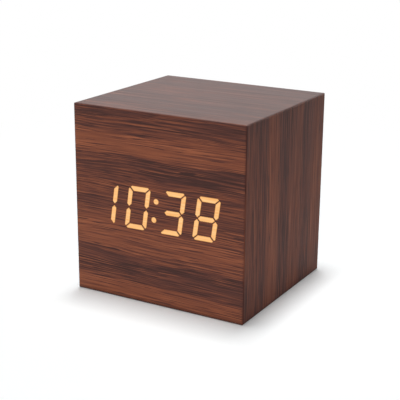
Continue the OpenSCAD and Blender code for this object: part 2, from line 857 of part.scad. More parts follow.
// Room that the cells and the door take out of the back cover
module bay_room() {
    box([-bay_w / 2, cell_y - ridge_drop, bay_z0], [bay_w / 2, cover_in_y, bay_z1]);
    for (z = cell_z) {
        bar(2 * channel_r, cell_y, z, -bay_w / 2, bay_w / 2);
    }
    box([-opening_w / 2, cover_in_y - past, bay_z0], [opening_w / 2, cover_out_y + past, bay_z1]);
    box([-opening_w / 2 - ledge_w, cover_out_y - recess_depth, bay_z0 - ledge_w],
        [opening_w / 2 + ledge_w, cover_out_y + past, bay_z1 + ledge_w]);
    rod(2 * scoop_r, 0, bay_z1 + ledge_w + scoop_rise - scoop_r,
        cover_out_y - scoop_depth, cover_out_y + past);
    for (x = [-1, 1] * hook_step / 2) {
        box([x - hook_w / 2 - hook_clear, cover_in_y - hook_slot_depth, bay_z0 - bay_wall - past],
            [x + hook_w / 2 + hook_clear, cover_in_y, bay_z0 + past]);
    }
    contact_slot(0, plate_s, cell_z[0], cell_z[2], cell_y - plate_s / 2 - tag_fit);
    contact_slot(1, plate_s, cell_z[0], cell_z[2], cell_y - plate_s / 2 - tag_fit);
    contact_slot(0, tag_w, cell_z[2], cell_z[2], bay_front_y - past);
    contact_slot(1, tag_w, cell_z[0], cell_z[0], bay_front_y - past);
}

// Holes for keys, socket, sound, microphone and screws
module cover_holes() {
    for (x = key_x) {
        rod(key_d + 2 * key_fit, x, key_z, cover_in_y - past, cover_out_y + past);
    }
    rod(socket_collar_d + 2 * socket_collar_fit, socket_x, key_z, cover_in_y - past, cover_out_y + past);
    rod(mic_hole_d, mic_x, low_strip_z, cover_in_y - past, cover_out_y + past);
    for (i = [0:sound_slots - 1]) {
        x = (i - (sound_slots - 1) / 2) * sound_slot_step;
        box([x - sound_slot_w / 2, cover_in_y - past, low_strip_z - sound_slot_l / 2],
            [x + sound_slot_w / 2, cover_out_y + past, low_strip_z + sound_slot_l / 2]);
    }
    for (x = [-1, 1] * cover_screw_x, z = cover_screw_z) {
        rod(cover_screw_d + 2 * small_hole_room, x, z, cover_in_y - past, cover_out_y + past);
        rod(cover_head_d + 2 * head_room, x, z, cover_out_y - cover_head_sink, cover_out_y + past);
    }
}

module back_cover() {
    color(cover_black) {
        difference() {
            union() {
                slab(cover_in_y, cover_out_y) translate([0, case_h / 2])
                    square([cover_w, cover_h], center = true);
                box([-bay_w / 2 - bay_wall, bay_front_y, bay_z0 - bay_wall],
                    [bay_w / 2 + bay_wall, cover_in_y, bay_z1 + bay_wall]);
                for (x = boss_x) {
                    rod(boss_d, x, key_z, key_face_y, cover_in_y);
                }
                rod(mic_d + 2 * mic_collar_t, mic_x, low_strip_z, cover_in_y - mic_t, cover_in_y);
            }
            bay_room();
            cover_holes();
            for (x = boss_x) {
                rod(small_screw_d + 2 * hole_fit, x, key_z,
                    key_face_y - past, key_face_y + boss_bite + hole_fit);
            }
            rod(mic_d + 2 * hole_fit, mic_x, low_strip_z, cover_in_y - mic_t - past, cover_in_y);
        }
    }
}

module cover_screws() {
    seat_y = cover_out_y - cover_head_sink;
    color(metal_grey) for (x = [-1, 1] * cover_screw_x, z = cover_screw_z) {
        screw(cover_screw_d, cover_screw_l, cover_head_d, cover_head_h, x, z, seat_y);
    }
}

module microphone() {
    color(metal_grey) rod(mic_d, mic_x, low_strip_z, cover_in_y - mic_t, cover_in_y);
}

// Door hooked behind the lower edge of its opening, turning about its rounded lower edge
module battery_door() {
    color(cover_black) {
        difference() {
            union() {
                strip(-door_w / 2, door_w / 2) {
                    area([door_in_y, hinge_z], [cover_out_y, door_z1]);
                    translate([hinge_y, hinge_z]) circle(d = door_t);
                }
                for (i = [0:tongue_ribs - 1]) {
                    bar(2 * tongue_rib_r, cover_out_y, door_z1 - tongue_rib_step * (i + 1),
                        tongue_rib_side - tongue_w / 2, tongue_w / 2 - tongue_rib_side);
                }
            }
            for (side = [-1, 1]) {
                x = side * (tongue_w + tongue_slit) / 2;
                box([x - tongue_slit / 2, door_in_y - past, door_z1 - tongue_l],
                    [x + tongue_slit / 2, cover_out_y + past, door_z1 + past]);
            }
        }
        for (x = [-1, 1] * hook_step / 2) {
            strip(x - hook_w / 2, x + hook_w / 2) polygon([
                [door_in_y, bay_z0 + hook_clear], [door_in_y, bay_z0 + hook_clear + hook_t],
                [cover_in_y - hook_clear - hook_t, bay_z0 + hook_clear + hook_t],
                [cover_in_y - hook_clear - hook_t, hook_toe_z], [cover_in_y - hook_clear, hook_toe_z],
                [cover_in_y - hook_clear, bay_z0 + hook_clear]]);
        }
        for (x = [-1, 1] * door_rib_x) {
            box([x - door_rib_t / 2, door_in_y - door_rib_h, hinge_z + door_rib_end],
                [x + door_rib_t / 2, door_in_y, door_z1 - door_rib_end]);
        }
        box([-tongue_w / 2, door_in_y - nib_h, bay_z1 - door_fit - nib_h],
            [tongue_w / 2, door_in_y, bay_z1 - door_fit]);
    }
}

// Keys

module key_board() {
    half = [key_board_w / 2, key_board_h / 2];
    color(board_green) difference() {
        slab(key_front_y, key_face_y) translate([0, (strip_z0 + inner_top_z) / 2]) area(-half, half);
        for (x = boss_x) {
            rod(small_screw_d + 2 * small_hole_room, x, key_z, key_front_y - past, key_face_y + past);
        }
    }
}

// Screws through the key board into the cover's bosses, with their heads towards the front
module key_board_screws() {
    color(metal_grey) for (x = boss_x) {
        translate([x, key_front_y, key_z]) rotate([0, 0, 180])
            screw(small_screw_d, pcb_t + boss_bite, small_head_d, small_head_h, 0, 0, 0);
    }
}

module key_switches() {
    color(part_black) for (x = key_x) {
        difference() {
            translate([x - switch_s / 2, key_face_y, key_z - switch_s / 2])
                cube([switch_s, switch_h, switch_s]);
            rod(plunger_d + 2 * key_fit, x, key_z,
                key_face_y + switch_h - plunger_seat - 2 * key_travel, key_face_y + switch_h + past);
        }
    }
}

module plunger(x) {
    color("ivory") rod(plunger_d, x, key_z, key_face_y + switch_h - plunger_seat, plunger_top_y);
}

module set_plunger() {
    plunger(key_x[0]);
}

module up_plunger() {
    plunger(key_x[1]);
}

module down_plunger() {
    plunger(key_x[2]);
}

// Turned key cap: stem, flange that stops behind the cover, and a dished and bevelled top
module key_cap(x) {
    flange_y = cover_in_y - key_stop_gap - plunger_top_y;
    top_y = cover_out_y + key_proud - plunger_top_y;
    dish_y = top_y - key_dish + key_dish_r;
    color(part_black) translate([x, plunger_top_y, key_z]) rotate([-90, 0, 0]) difference() {
        rotate_extrude() polygon([
            [0, 0], [key_stem_d / 2, 0], [key_stem_d / 2, flange_y - key_flange_t],
            [key_flange_d / 2, flange_y - key_flange_t], [key_flange_d / 2, flange_y],
            [key_d / 2, flange_y], [key_d / 2, top_y - key_chamfer],
            [key_d / 2 - key_chamfer, top_y], [0, top_y]]);
        translate([0, 0, dish_y]) sphere(r = key_dish_r);
    }
}

module set_key() {
    key_cap(key_x[0]);
}

module up_key() {
    key_cap(key_x[1]);
}

module down_key() {
    key_cap(key_x[2]);
}

// Power socket

module power_socket() {
    color(part_black) difference() {
        union() {
            translate([socket_x - socket_s / 2, key_face_y, key_z - socket_s / 2])
                cube([socket_s, cover_in_y - hole_fit - key_face_y, socket_s]);
            rod(socket_collar_d, socket_x, key_z, key_face_y, socket_mouth_y);
        }
        rod(socket_bore_d, socket_x, key_z, socket_floor_y, socket_mouth_y + past);
        rod(socket_pin_d + 2 * hole_fit, socket_x, key_z, key_face_y - past, socket_floor_y + past);
    }
}

module socket_pin() {
    color(metal_grey) rod(socket_pin_d, socket_x, key_z, key_face_y, socket_mouth_y - socket_pin_back);
}

// Cells and contacts

// Places a child drawn with the raised terminal's tip at zero, the cell running back along -X
module each_cell() {
    for (i = [0:2]) {
        translate([cell_way[i] * (bay_w / 2 - contact_t - dimple_h), cell_y, cell_z[i]])
            mirror([cell_way[i] < 0 ? 1 : 0, 0, 0]) children();
    }
}

module cell_cans() {
    color(metal_grey) each_cell() {
        bar(cell_d - 2 * jacket_t - 2 * hole_fit, 0, 0, -cell_l, -terminal_h);
        bar(terminal_d, 0, 0, -cell_l, 0);
    }
}

module cell_jackets() {
    color(jacket_blue) each_cell() difference() {
        bar(cell_d, 0, 0, jacket_back - cell_l, -terminal_h - jacket_back);
        bar(cell_d - 2 * jacket_t, 0, 0, -cell_l, 0);
    }
}

// A contact plate on one end wall, covering the cells from first to last
module contact_plate(side, first, last) {
    wall = bay_w / 2;
    mirror([side < 0 ? 1 : 0, 0, 0]) {
        box([wall - contact_t, cell_y - plate_s / 2, cell_z[first] - plate_s / 2],
            [wall, cell_y + plate_s / 2, cell_z[last] + plate_s / 2]);
        for (i = [first:last]) {
            if (cell_way[i] == side) {
                bar(2 * dimple_r, cell_y, cell_z[i], wall - contact_t - dimple_h, wall);
            }
        }
        if (first == last) {
            box([wall - contact_t, tag_tip_y, cell_z[first] - tag_w / 2],
                [wall, cell_y, cell_z[first] + tag_w / 2]);
        }
    }
}

// The cells are wired end to end: two plates join neighbours and two end in solder tags
module contact_plates() {
    color(metal_grey) {
        contact_plate(1, 0, 1);
        contact_plate(-1, 1, 2);
        contact_plate(-1, 0, 0);
        contact_plate(1, 2, 2);
    }
}

// Points of a spring that narrows from its plate at zero towards the cell
spring_start = 1.5 * spring_wire_d;
spring_rise = spring_l - 2 * spring_start;
spring_points = let (n = spring_turns * rings_a_turn) concat(
    [[0, spring_base_r, 0]],
    [for (i = [0:n])
        let (t = i / n, r = spring_base_r + (spring_tip_r - spring_base_r) * t, a = 360 * spring_turns * t)
        [spring_start + spring_rise * t, r * cos(a), r * sin(a)]],
    [let (a = 360 * spring_turns) [spring_l - spring_touch, spring_tip_r * cos(a), spring_tip_r * sin(a)]]);

// Least gap between two stretches of the spring's wire that lie more than half a turn apart
spring_last = len(spring_points) - 1;
spring_gap = min([for (i = [0:spring_last], j = [i + rings_a_turn / 2 + 1:1:spring_last])
    norm(spring_points[i] - spring_points[j])]) - spring_wire_d;
echo(spring_gap = spring_gap);

module contact_springs() {
    color(metal_grey) for (i = [0:2]) {
        translate([cell_way[i] * (contact_t - bay_w / 2), cell_y, cell_z[i]])
            mirror([cell_way[i] < 0 ? 1 : 0, 0, 0])
                tube(spring_points, [for (p = spring_points) [0, p[1], p[2]]], spring_wire_d, tube_sides);
    }
}

module lead(points) {
    run = smooth(points, lead_steps);
    tube(run, [for (p = run) [1, 0, 0]], lead_d, lead_sides);
}

module battery_leads() {
    color("firebrick") lead(red_lead);
    color("dimgray") lead(black_lead);
}

front_film();
front_board();
top_board();
bottom_board();
left_board();
right_board();
corner_blocks();
display_housing();
lit_segments();
unlit_segments();
segment_leds();
display_board();
display_spacers();
display_screws();
clock_chip();
chip_legs();
quartz_crystal();
buzzer();
smoothing_capacitor();
temperature_sensor();
ribbon_sockets();
ribbon_cable();
back_cover();
cover_screws();
key_board();
key_board_screws();
key_switches();
set_plunger();
up_plunger();
down_plunger();
set_key();
up_key();
down_key();
power_socket();
socket_pin();
microphone();
battery_door();
cell_cans();
cell_jackets();
contact_plates();
contact_springs();
battery_leads();
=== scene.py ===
"""Looks of a digital cube alarm clock: printed wood film, lit digits and a moulded back."""

import json
import math

import bpy
from mathutils import Euler, Matrix, Vector

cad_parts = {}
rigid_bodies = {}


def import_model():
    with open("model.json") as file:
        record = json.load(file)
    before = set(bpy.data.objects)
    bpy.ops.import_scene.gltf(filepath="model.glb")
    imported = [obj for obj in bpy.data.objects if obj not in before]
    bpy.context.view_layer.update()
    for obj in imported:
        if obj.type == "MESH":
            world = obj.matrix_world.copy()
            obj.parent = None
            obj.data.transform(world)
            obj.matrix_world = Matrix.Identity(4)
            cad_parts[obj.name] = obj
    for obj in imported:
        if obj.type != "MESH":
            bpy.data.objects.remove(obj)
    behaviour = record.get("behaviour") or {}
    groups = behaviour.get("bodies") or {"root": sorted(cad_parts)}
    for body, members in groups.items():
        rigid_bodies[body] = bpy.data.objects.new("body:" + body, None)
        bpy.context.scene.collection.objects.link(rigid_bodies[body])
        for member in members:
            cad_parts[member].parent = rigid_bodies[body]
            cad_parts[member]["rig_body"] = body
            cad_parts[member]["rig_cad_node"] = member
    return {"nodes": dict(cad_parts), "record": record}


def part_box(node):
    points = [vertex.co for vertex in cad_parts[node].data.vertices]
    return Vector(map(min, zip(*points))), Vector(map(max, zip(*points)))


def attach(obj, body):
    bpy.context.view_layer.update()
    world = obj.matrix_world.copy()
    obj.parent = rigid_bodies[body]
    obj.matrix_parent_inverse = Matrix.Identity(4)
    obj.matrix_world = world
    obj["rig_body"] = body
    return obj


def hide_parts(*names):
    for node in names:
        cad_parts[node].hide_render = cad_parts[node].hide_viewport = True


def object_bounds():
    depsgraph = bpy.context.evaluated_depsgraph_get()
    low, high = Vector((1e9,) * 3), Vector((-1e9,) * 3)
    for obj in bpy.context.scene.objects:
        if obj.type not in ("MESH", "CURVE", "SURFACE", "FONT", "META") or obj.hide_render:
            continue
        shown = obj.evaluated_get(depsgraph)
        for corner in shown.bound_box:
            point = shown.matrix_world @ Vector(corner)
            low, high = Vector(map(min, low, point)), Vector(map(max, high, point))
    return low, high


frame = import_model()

CAD_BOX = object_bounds()

bl_info = {
    "name": "Cube Alarm Clock",
    "version": (1, 0, 0),
    "blender": (4, 5, 0),
    "location": "View3D > Sidebar > Clock",
    "description": "Dresses the pieces of a cube alarm clock and sets up its studio",
    "category": "Object",
}

MM = 0.001
MICRON = 0.000001
NODES = frame["nodes"]
BODY_OF = {
    node: body
    for body, members in frame["record"]["behaviour"]["bodies"].items()
    for node in members
}

# Outside of the case and of its back cover, in millimetres
FRONT_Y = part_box("front_film")[0].y / MM
SIDE_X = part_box("right_board")[1].x / MM
TOP_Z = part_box("top_board")[1].z / MM
COVER_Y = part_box("back_cover")[1].y / MM

# Battery door, in millimetres: thickness, height of the sign on its tongue, rows of cell marks inside it
DOOR_THICKNESS = 1.4
DOOR_SIGN_Z = 41.4
MARK_ROWS = (18.6, 27.2, 35.8)

# Distance between the pads of a circuit board and width of the pale band round a cell, in millimetres
PAD_PITCH = 2.54
SLEEVE_BAND = 18

# Turns that lay a face's grain along the first axis and its outside along the third
FRONT_TURN = (-math.pi / 2, 0, 0)
TOP_TURN = (0, 0, 0)
BOTTOM_TURN = (math.pi, 0, 0)
RIGHT_TURN = (0, -math.pi / 2, 0)
LEFT_TURN = (0, math.pi / 2, 0)

# Bands of the printed wood, each a place across the grain in millimetres and a tone from dark to light.
# The front is counted from the base up, the other faces from the front back.
FRONT_BANDS = (
    (0, 0.72), (5, 0.76), (8, 0.2), (14, 0.1), (17, 0.62), (22, 0.76), (28, 0.5), (31, 0.2), (36, 0.52),
    (41, 0.42), (43, 0.12), (47, 0.16), (50, 0.78), (54, 0.72), (58, 0.34), (61, 0.16), (63, 0.24),
)
SIDE_BANDS = (
    (0, 0.35), (6, 0.42), (13, 0.25), (16, 0.72), (22, 0.7), (24, 0.22), (29, 0.2), (32, 0.5),
    (39, 0.48), (42, 0.2), (46, 0.25), (49, 0.6), (57, 0.55),
)
# The top's bands are darker than the front's: painted shade that offsets the stronger light of the top lamp
TOP_BANDS = (
    (0, 0.42), (4, 0.27), (10, 0.07), (14, 0.03), (20, 0.18), (26, 0.07), (33, 0.17), (38, 0.23),
    (44, 0.07), (52, 0.05), (57, 0.0),
)

# Slow change of tone along the grain, about 0.5: from left to right on the front, and from the top down
# on the right, where a place is a height in millimetres with a minus sign. On the right it is painted
# light: a painted sheen at mid height and painted shade towards the top and the foot
FRONT_RUN = ((-31, 0.62), (-22, 0.55), (0, 0.5), (31, 0.42))
RIGHT_SHEEN_AND_SHADE = ((-63, 0.34), (-52, 0.42), (-32, 0.6), (-18, 0.58), (-6, 0.44), (0, 0.4))

# Range that most of a noise lies in
NOISE_RANGE = (0.3, 0.7)

# Layers of the printed wood: size in millimetres along, across and through the print, seed, detail and
# roughness of each
LAYERS = {
    "drift": ((70, 15, 40), 0.0, 1, 0.5),
    "waver": ((24, 4, 20), 3.1, 2, 0.5),
    "broad": ((48, 1.5, 20), 7.7, 2, 0.5),
    "streak": ((34, 0.5, 12), 12.3, 2, 0.5),
    "fibre": ((17, 0.31, 6), 19.9, 4, 0.6),
    "pore": ((9, 0.3, 8), 27.3, 1, 0.5),
    "clump": ((24, 3, 20), 33.1, 1, 0.5),
    "rub": ((5, 5, 5), 41.3, 2, 0.5),
    "crumb": ((0.4, 0.4, 0.4), 0.0, 3, 0.6),
}

# Tones from the darkest to the lightest colour of the wood, and where its layer turns into a pore
TONE_RANGE = (-0.6, 1.4)
PORE_CUT = (0.6, 0.7)

# How strong the streaks are from thin to dense patches and from dark to light bands, and how uneven the
# wear is: the range of a layer, and what it becomes
CLUMP_STRENGTH = (0.35, 0.65, 0.5, 1.5)
BAND_STRENGTH = (0.1, 0.75, 1.2, 0.85)
RUB_STRENGTH = (0.3, 0.7, 0.6, 1.4)

# Distances in millimetres from full painted shade to none, from the edges of the case, where the shade is
# patchy like wear, and from its foot
EDGE_SHADE_REACH = (0.1, 0.7)
FOOT_SHADE_REACH = (0.4, 1.3)


# Finishes

class Shading:
    """A node tree that is built up node by node around its surface."""

    # How far a seed moves a noise along each axis
    SEED_STEPS = (1, 1.7, 2.3)

    def __init__(self, tree, surface):
        self.nodes = tree.nodes
        self.links = tree.links
        self.surface = tree.nodes[surface]

    def feed(self, node, sockets):
        """Links or sets a node's inputs, by name or number."""
        for key, value in sockets.items():
            socket = node.inputs[key]
            if isinstance(value, bpy.types.NodeSocket):
                self.links.new(value, socket)
            elif socket.type == "RGBA" and len(value) == 3:
                socket.default_value = (*value, 1)
            else:
                socket.default_value = value

    def add(self, kind, sockets=None, **options):
        """A new node of a kind, with its options and its inputs."""
        node = self.nodes.new("ShaderNode" + kind)
        for option, value in options.items():
            setattr(node, option, value)
        self.feed(node, sockets or {})
        return node

    def maths(self, operation, *values):
        """The result of a Math node."""
        return self.add("Math", dict(enumerate(values)), operation=operation).outputs[0]

    def span(self, value, low, high, start=0.0, end=1.0):
        """A value from low to high brought to start to end, and held there."""
        sockets = {"Value": value, "From Min": low, "From Max": high, "To Min": start, "To Max": end}
        return self.add("MapRange", sockets).outputs[0]

    def point(self, turn=(0, 0, 0)):
        """Places on the piece in millimetres, turned about the origin."""
        place = self.add("TexCoord").outputs["Object"]
        sockets = {"Vector": place, "Rotation": turn, "Scale": (1 / MM,) * 3}
        return self.add("Mapping", sockets).outputs[0]

    def axes(self, point):
        """The three coordinates of a place."""
        return self.add("SeparateXYZ", {0: point}).outputs

    def speckle(self, point, size, seed, detail=2, roughness=0.5):
        """Noise about 0.5 whose grains have a size in millimetres along each axis."""
        scale = tuple(1 / side for side in size)
        shift = tuple(seed * step for step in self.SEED_STEPS)
        shifted = self.add("Mapping", {"Vector": point, "Scale": scale, "Location": shift}).outputs[0]
        sockets = {"Vector": shifted, "Scale": 1, "Detail": detail, "Roughness": roughness}
        return self.add("TexNoise", sockets).outputs[0]

    def centred(self, noise):
        """Noise about 0.5 brought to lie about 0."""
        return self.maths("SUBTRACT", noise, 0.5)

    def ramp(self, value, stops, smooth=False):
        """A colour ramp; its stops are pairs of a place and a grey or a colour."""
        node = self.add("ValToRGB", {0: value})
        node.color_ramp.interpolation = "EASE" if smooth else "LINEAR"
        elements = node.color_ramp.elements
        while len(elements) < len(stops):
            elements.new(0.5)
        for element, (place, tone) in zip(elements, stops):
            element.position = place
            element.color = (tone, tone, tone, 1) if isinstance(tone, (int, float)) else (*tone, 1)
        return node.outputs[0]

    def mix(self, share, first, second):
        """A share of the second colour laid over the first."""
        # Of the node's many inputs, 6 and 7 are the two colours
        return self.add("Mix", {0: share, 6: first, 7: second}, data_type="RGBA").outputs[2]

    def relief(self, height, depth):
        """Bump from a height of 0 to 1, with a depth in metres."""
        return self.add("Bump", {"Height": height, "Distance": depth}).outputs[0]

    def seen(self):
        """1 for what the camera sees, straight or by way of a reflection, and 0 for other light."""
        path = self.add("LightPath").outputs
        rays = self.maths("MAXIMUM", path["Is Camera Ray"], path["Is Glossy Ray"])
        return self.maths("MAXIMUM", rays, path["Is Transmission Ray"])


class Finish(Shading):
    """A material around one Principled surface."""

    def __init__(self, name, **sockets):
        self.material = bpy.data.materials.new(name)
        self.material.use_nodes = True
        super().__init__(self.material.node_tree, "Principled BSDF")
        self.wear(**sockets)

    def wear(self, **sockets):
        """Links or sets the surface's own inputs and returns the material."""
        self.feed(self.surface, {key.replace("_", " "): value for key, value in sockets.items()})
        return self.material


def settings(group):
    """One of the clock's groups of settings."""
    return getattr(bpy.context.scene, "clock_" + group)


def dimmed(colour, share):
    """A colour with this share of its light."""
    return tuple(channel * share for channel in colour)


def wood_film(name, turn, bands, first, outer, seed, grain=1.0, gloss=0.0, lengthways=None, width=1.0,
              broadness=1.0):
    """Printed walnut film over a board, with bands across the grain and the board's core behind it.

    first is where the bands start across the grain and outer is the film's outside, both in millimetres.
    grain is the strength of the streaks, and gloss is added to the skin's index of refraction.
    lengthways is a slow change of tone along the grain; on the right board it is painted sheen and shade.
    width widens the fine streaks, and broadness is the share of the broad ones that is left.
    """
    look = settings("film")
    film = Finish(name, IOR=look.gloss_ior + gloss)
    point = film.point(turn)
    along, across, outward = film.axes(point)
    upright = film.point()

    def layer(kind, place, widened=1.0):
        """One of the print's layers at a place, widened across the grain."""
        (length, breadth, depth), shift, detail, roughness = LAYERS[kind]
        size = (length, breadth * widened, depth)
        return film.speckle(place, size, seed + shift, detail, roughness)

    drift = layer("drift", point)
    waver = layer("waver", point)
    wander = film.maths("MULTIPLY_ADD", drift, 2 * look.band_drift / MM, across)
    place = film.maths("MULTIPLY_ADD", waver, 2 * look.band_waver / MM, wander)
    middle = (look.band_drift + look.band_waver) / MM + first
    reach = bands[-1][0]
    way_across = film.maths("DIVIDE", film.maths("SUBTRACT", place, middle), reach)
    band = film.ramp(way_across, [(start / reach, tone) for start, tone in bands], smooth=True)

    # The streaks follow the bands' wander, and stand out in patches and most of all in the dark bands
    bend = film.maths("MULTIPLY_ADD", waver, look.band_waver / MM, wander)
    wavy = film.add("CombineXYZ", {0: along, 1: bend, 2: outward}).outputs[0]
    broad = layer("broad", wavy)
    streak = layer("streak", wavy, width)
    fibre = layer("fibre", wavy, width)
    pore = film.span(layer("pore", wavy, width), *PORE_CUT)
    clump = film.span(layer("clump", wavy), *CLUMP_STRENGTH)
    strength = film.maths("MULTIPLY", clump, film.span(band, *BAND_STRENGTH))
    lines = film.maths("MULTIPLY", film.centred(streak), look.fine_streaks * grain)
    lines = film.maths("MULTIPLY_ADD", film.centred(fibre), look.fibres * grain, lines)
    lines = film.maths("MULTIPLY_ADD", pore, -look.pores * grain, lines)
    tone = film.maths("MULTIPLY_ADD", film.centred(broad), look.broad_streaks * grain * broadness, band)
    tone = film.maths("MULTIPLY_ADD", lines, strength, tone)
    if lengthways:
        start, end = lengthways[0][0], lengthways[-1][0]
        stops = [((at - start) / (end - start), shade) for at, shade in lengthways]
        slow = film.ramp(film.span(along, start, end), stops, smooth=True)
        tone = film.maths("ADD", tone, film.centred(slow))
    wood = film.ramp(film.span(tone, *TONE_RANGE), [
        (0, look.pore), (0.3, look.darkest), (0.45, look.dark),
        (0.6, look.middle), (0.8, look.light), (1, look.lightest),
    ])

    # Painted shade darkens the film along the edges of the case, patchy like wear, and most of all at the
    # foot of its sides
    ends = [Euler(turn).to_matrix() @ Vector(corner) / MM for corner in CAD_BOX]
    gaps = []
    for axis, value in enumerate((along, across)):
        centre = (ends[0][axis] + ends[1][axis]) / 2
        offset = film.maths("ABSOLUTE", film.maths("SUBTRACT", value, centre))
        gaps.append(film.maths("SUBTRACT", abs(ends[1][axis] - centre), offset))
    rub = film.span(layer("rub", point), *RUB_STRENGTH)
    near_edge = film.span(film.maths("MINIMUM", *gaps), *EDGE_SHADE_REACH, look.edge_shade_and_wear, 0)
    painted_shade = film.maths("MULTIPLY", rub, near_edge)
    if outer > 0:
        foot = film.span(film.axes(upright)[2], *FOOT_SHADE_REACH, look.foot_shade, 0)
        painted_shade = film.maths("MAXIMUM", painted_shade, foot)
    wood = film.mix(painted_shade, wood, look.edge_shade_tone)

    # The board's core shows only behind the film, on the cut edges and inside
    core = film.ramp(layer("crumb", upright), [(0.35, look.core_dark), (0.65, look.core_light)])
    inside = film.maths("LESS_THAN", outward, outer - look.thickness / MM)
    rough = film.span(streak, *NOISE_RANGE, look.roughness + 0.05, look.roughness - 0.05)
    rough = film.maths("MULTIPLY_ADD", inside, 0.4, rough)
    height = film.maths("MULTIPLY_ADD", pore, -0.4, film.maths("MULTIPLY_ADD", fibre, 0.6, streak))
    return film.wear(Base_Color=film.mix(inside, wood, core), Roughness=rough,
                     Normal=film.relief(height, look.emboss))


def fibreboard(name):
    """Raw fibreboard: pressed fibres and darker crumbs."""
    look = settings("film")
    board = Finish(name, Roughness=0.85, IOR=1.3)
    crumb = board.speckle(board.point(), (0.7, 0.7, 0.25), seed=4, detail=4, roughness=0.65)
    colour = board.ramp(crumb, [(0.3, look.core_dark), (0.7, look.core_light)])
    return board.wear(Base_Color=colour, Normal=board.relief(crumb, 80 * MICRON))


def lit_window(name, bright, amber, dim):
    """A light window seen through the film: even amber light with faint streaks of grain."""
    look = settings("display")
    lit = Finish(name, Roughness=0.5, IOR=1.2, Base_Color=look.behind, Emission_Strength=look.strength)
    streak = lit.speckle(lit.point(FRONT_TURN), (7, 0.3, 5), seed=5.5, detail=3)
    glow = lit.ramp(streak, [(0.28, dim), (0.5, amber), (0.75, bright)])
    return lit.wear(Emission_Color=glow, Normal=lit.relief(streak, 10 * MICRON))


def moulded_plastic(name, colour, roughness, grain=0.22, depth=12 * MICRON):
    """Moulded plastic with a fine spark-eroded grain and slightly uneven gloss."""
    plastic = Finish(name)
    point = plastic.point()
    skin = plastic.speckle(point, (grain,) * 3, seed=2.2, detail=3, roughness=0.55)
    flow = plastic.speckle(point, (9, 9, 9), seed=6.1)
    pale = tuple(min(1, channel * 1.35 + 0.002) for channel in colour)
    blend = plastic.maths("MULTIPLY_ADD", skin, 0.6, plastic.maths("MULTIPLY", flow, 0.4))
    shade = plastic.ramp(blend, [(0.35, dimmed(colour, 0.8)), (0.5, colour), (0.68, pale)])
    rough = plastic.span(flow, *NOISE_RANGE, roughness - 0.06, roughness + 0.08)
    return plastic.wear(Base_Color=shade, Roughness=rough, Normal=plastic.relief(skin, depth))


def plated_metal(name, colour, roughness, brush=(3, 0.12, 0.12)):
    """Plated metal with fine drawing marks and dull patches."""
    metal = Finish(name, Metallic=1.0)
    point = metal.point()
    marks = metal.speckle(point, brush, seed=1.4, detail=3, roughness=0.6)
    dull = metal.speckle(point, (2.5, 2.5, 2.5), seed=8.6, detail=3)
    blend = metal.maths("MULTIPLY_ADD", dull, 0.7, metal.maths("MULTIPLY", marks, 0.3))
    shade = metal.ramp(blend, [(0.3, dimmed(colour, 0.78)), (0.62, colour)])
    rough = metal.span(marks, *NOISE_RANGE, roughness - 0.06, roughness + 0.1)
    return metal.wear(Base_Color=shade, Roughness=rough, Normal=metal.relief(marks, 4 * MICRON))


def circuit_lacquer(name):
    """A lacquered circuit board: green mask over copper tracks, with bare tinned pads."""
    look = settings("inside")
    board = Finish(name, IOR=1.5)
    point = board.point(FRONT_TURN)
    flat = board.add("Mapping", {"Vector": point, "Scale": (1.0, 1.0, 0.0)}).outputs[0]
    tracks = board.add("TexBrick", {
        "Vector": flat, "Color1": (0, 0, 0), "Color2": (0.25, 0.25, 0.25), "Mortar": (1, 1, 1),
        "Mortar Size": 0.16, "Mortar Smooth": 0.2, "Brick Width": 4.6, "Row Height": PAD_PITCH / 2,
        "Scale": 1.0,
    }).outputs["Color"]
    sockets = {"Vector": point, "Scale": 1 / PAD_PITCH, "Randomness": 0.25}
    dots = board.add("TexVoronoi", sockets, feature="F1").outputs["Distance"]
    pad = board.span(dots, 0.16, 0.12)
    weave = board.speckle(point, (0.35, 0.35, 0.35), seed=3.3)
    blend = board.maths("MULTIPLY_ADD", weave, 0.35, board.maths("MULTIPLY", tracks, 0.5))
    mask = board.ramp(blend, [(0.1, look.lacquer_dark), (0.6, look.lacquer_light)])
    colour = board.mix(pad, mask, look.tin)
    height = board.maths("MULTIPLY_ADD", pad, 0.5, tracks)
    rough = board.span(weave, *NOISE_RANGE, 0.25, 0.4)
    return board.wear(Base_Color=colour, Roughness=rough, Metallic=pad,
                      Normal=board.relief(height, 30 * MICRON))


def printed_sleeve(name):
    """The cells' plain sleeve: a pale band between dark ends, with a glossy, slightly creased skin."""
    look = settings("inside")
    sleeve = Finish(name, IOR=1.5, Coat_Weight=0.4)
    point = sleeve.point()
    from_middle = sleeve.maths("ABSOLUTE", sleeve.axes(point)[0])
    pale = sleeve.maths("LESS_THAN", from_middle, SLEEVE_BAND / 2)
    grime = sleeve.speckle(point, (6, 2, 2), seed=3.7, detail=3)
    body = sleeve.ramp(grime, [(0.3, look.sleeve_dark), (0.7, look.sleeve)])
    colour = sleeve.mix(pale, body, look.sleeve_band)
    rough = sleeve.span(grime, *NOISE_RANGE, 0.2, 0.36)
    return sleeve.wear(Base_Color=colour, Roughness=rough, Normal=sleeve.relief(grime, 30 * MICRON))


def wire_cover(name, colour, second=None):
    """Dull, slightly dusty wire insulation; a second colour takes over left of the middle."""
    cover = Finish(name, IOR=1.45)
    point = cover.point()
    dust = cover.speckle(point, (1.2, 1.2, 1.2), seed=7.1, detail=4, roughness=0.6)
    shade = cover.ramp(dust, [(0.3, dimmed(colour, 0.75)), (0.7, colour)])
    if second is not None:
        left = cover.maths("LESS_THAN", cover.axes(point)[0], 0)
        shade = cover.mix(left, shade, second)
    rough = cover.span(dust, *NOISE_RANGE, 0.42, 0.6)
    return cover.wear(Base_Color=shade, Roughness=rough, Normal=cover.relief(dust, 20 * MICRON))


# Modelling

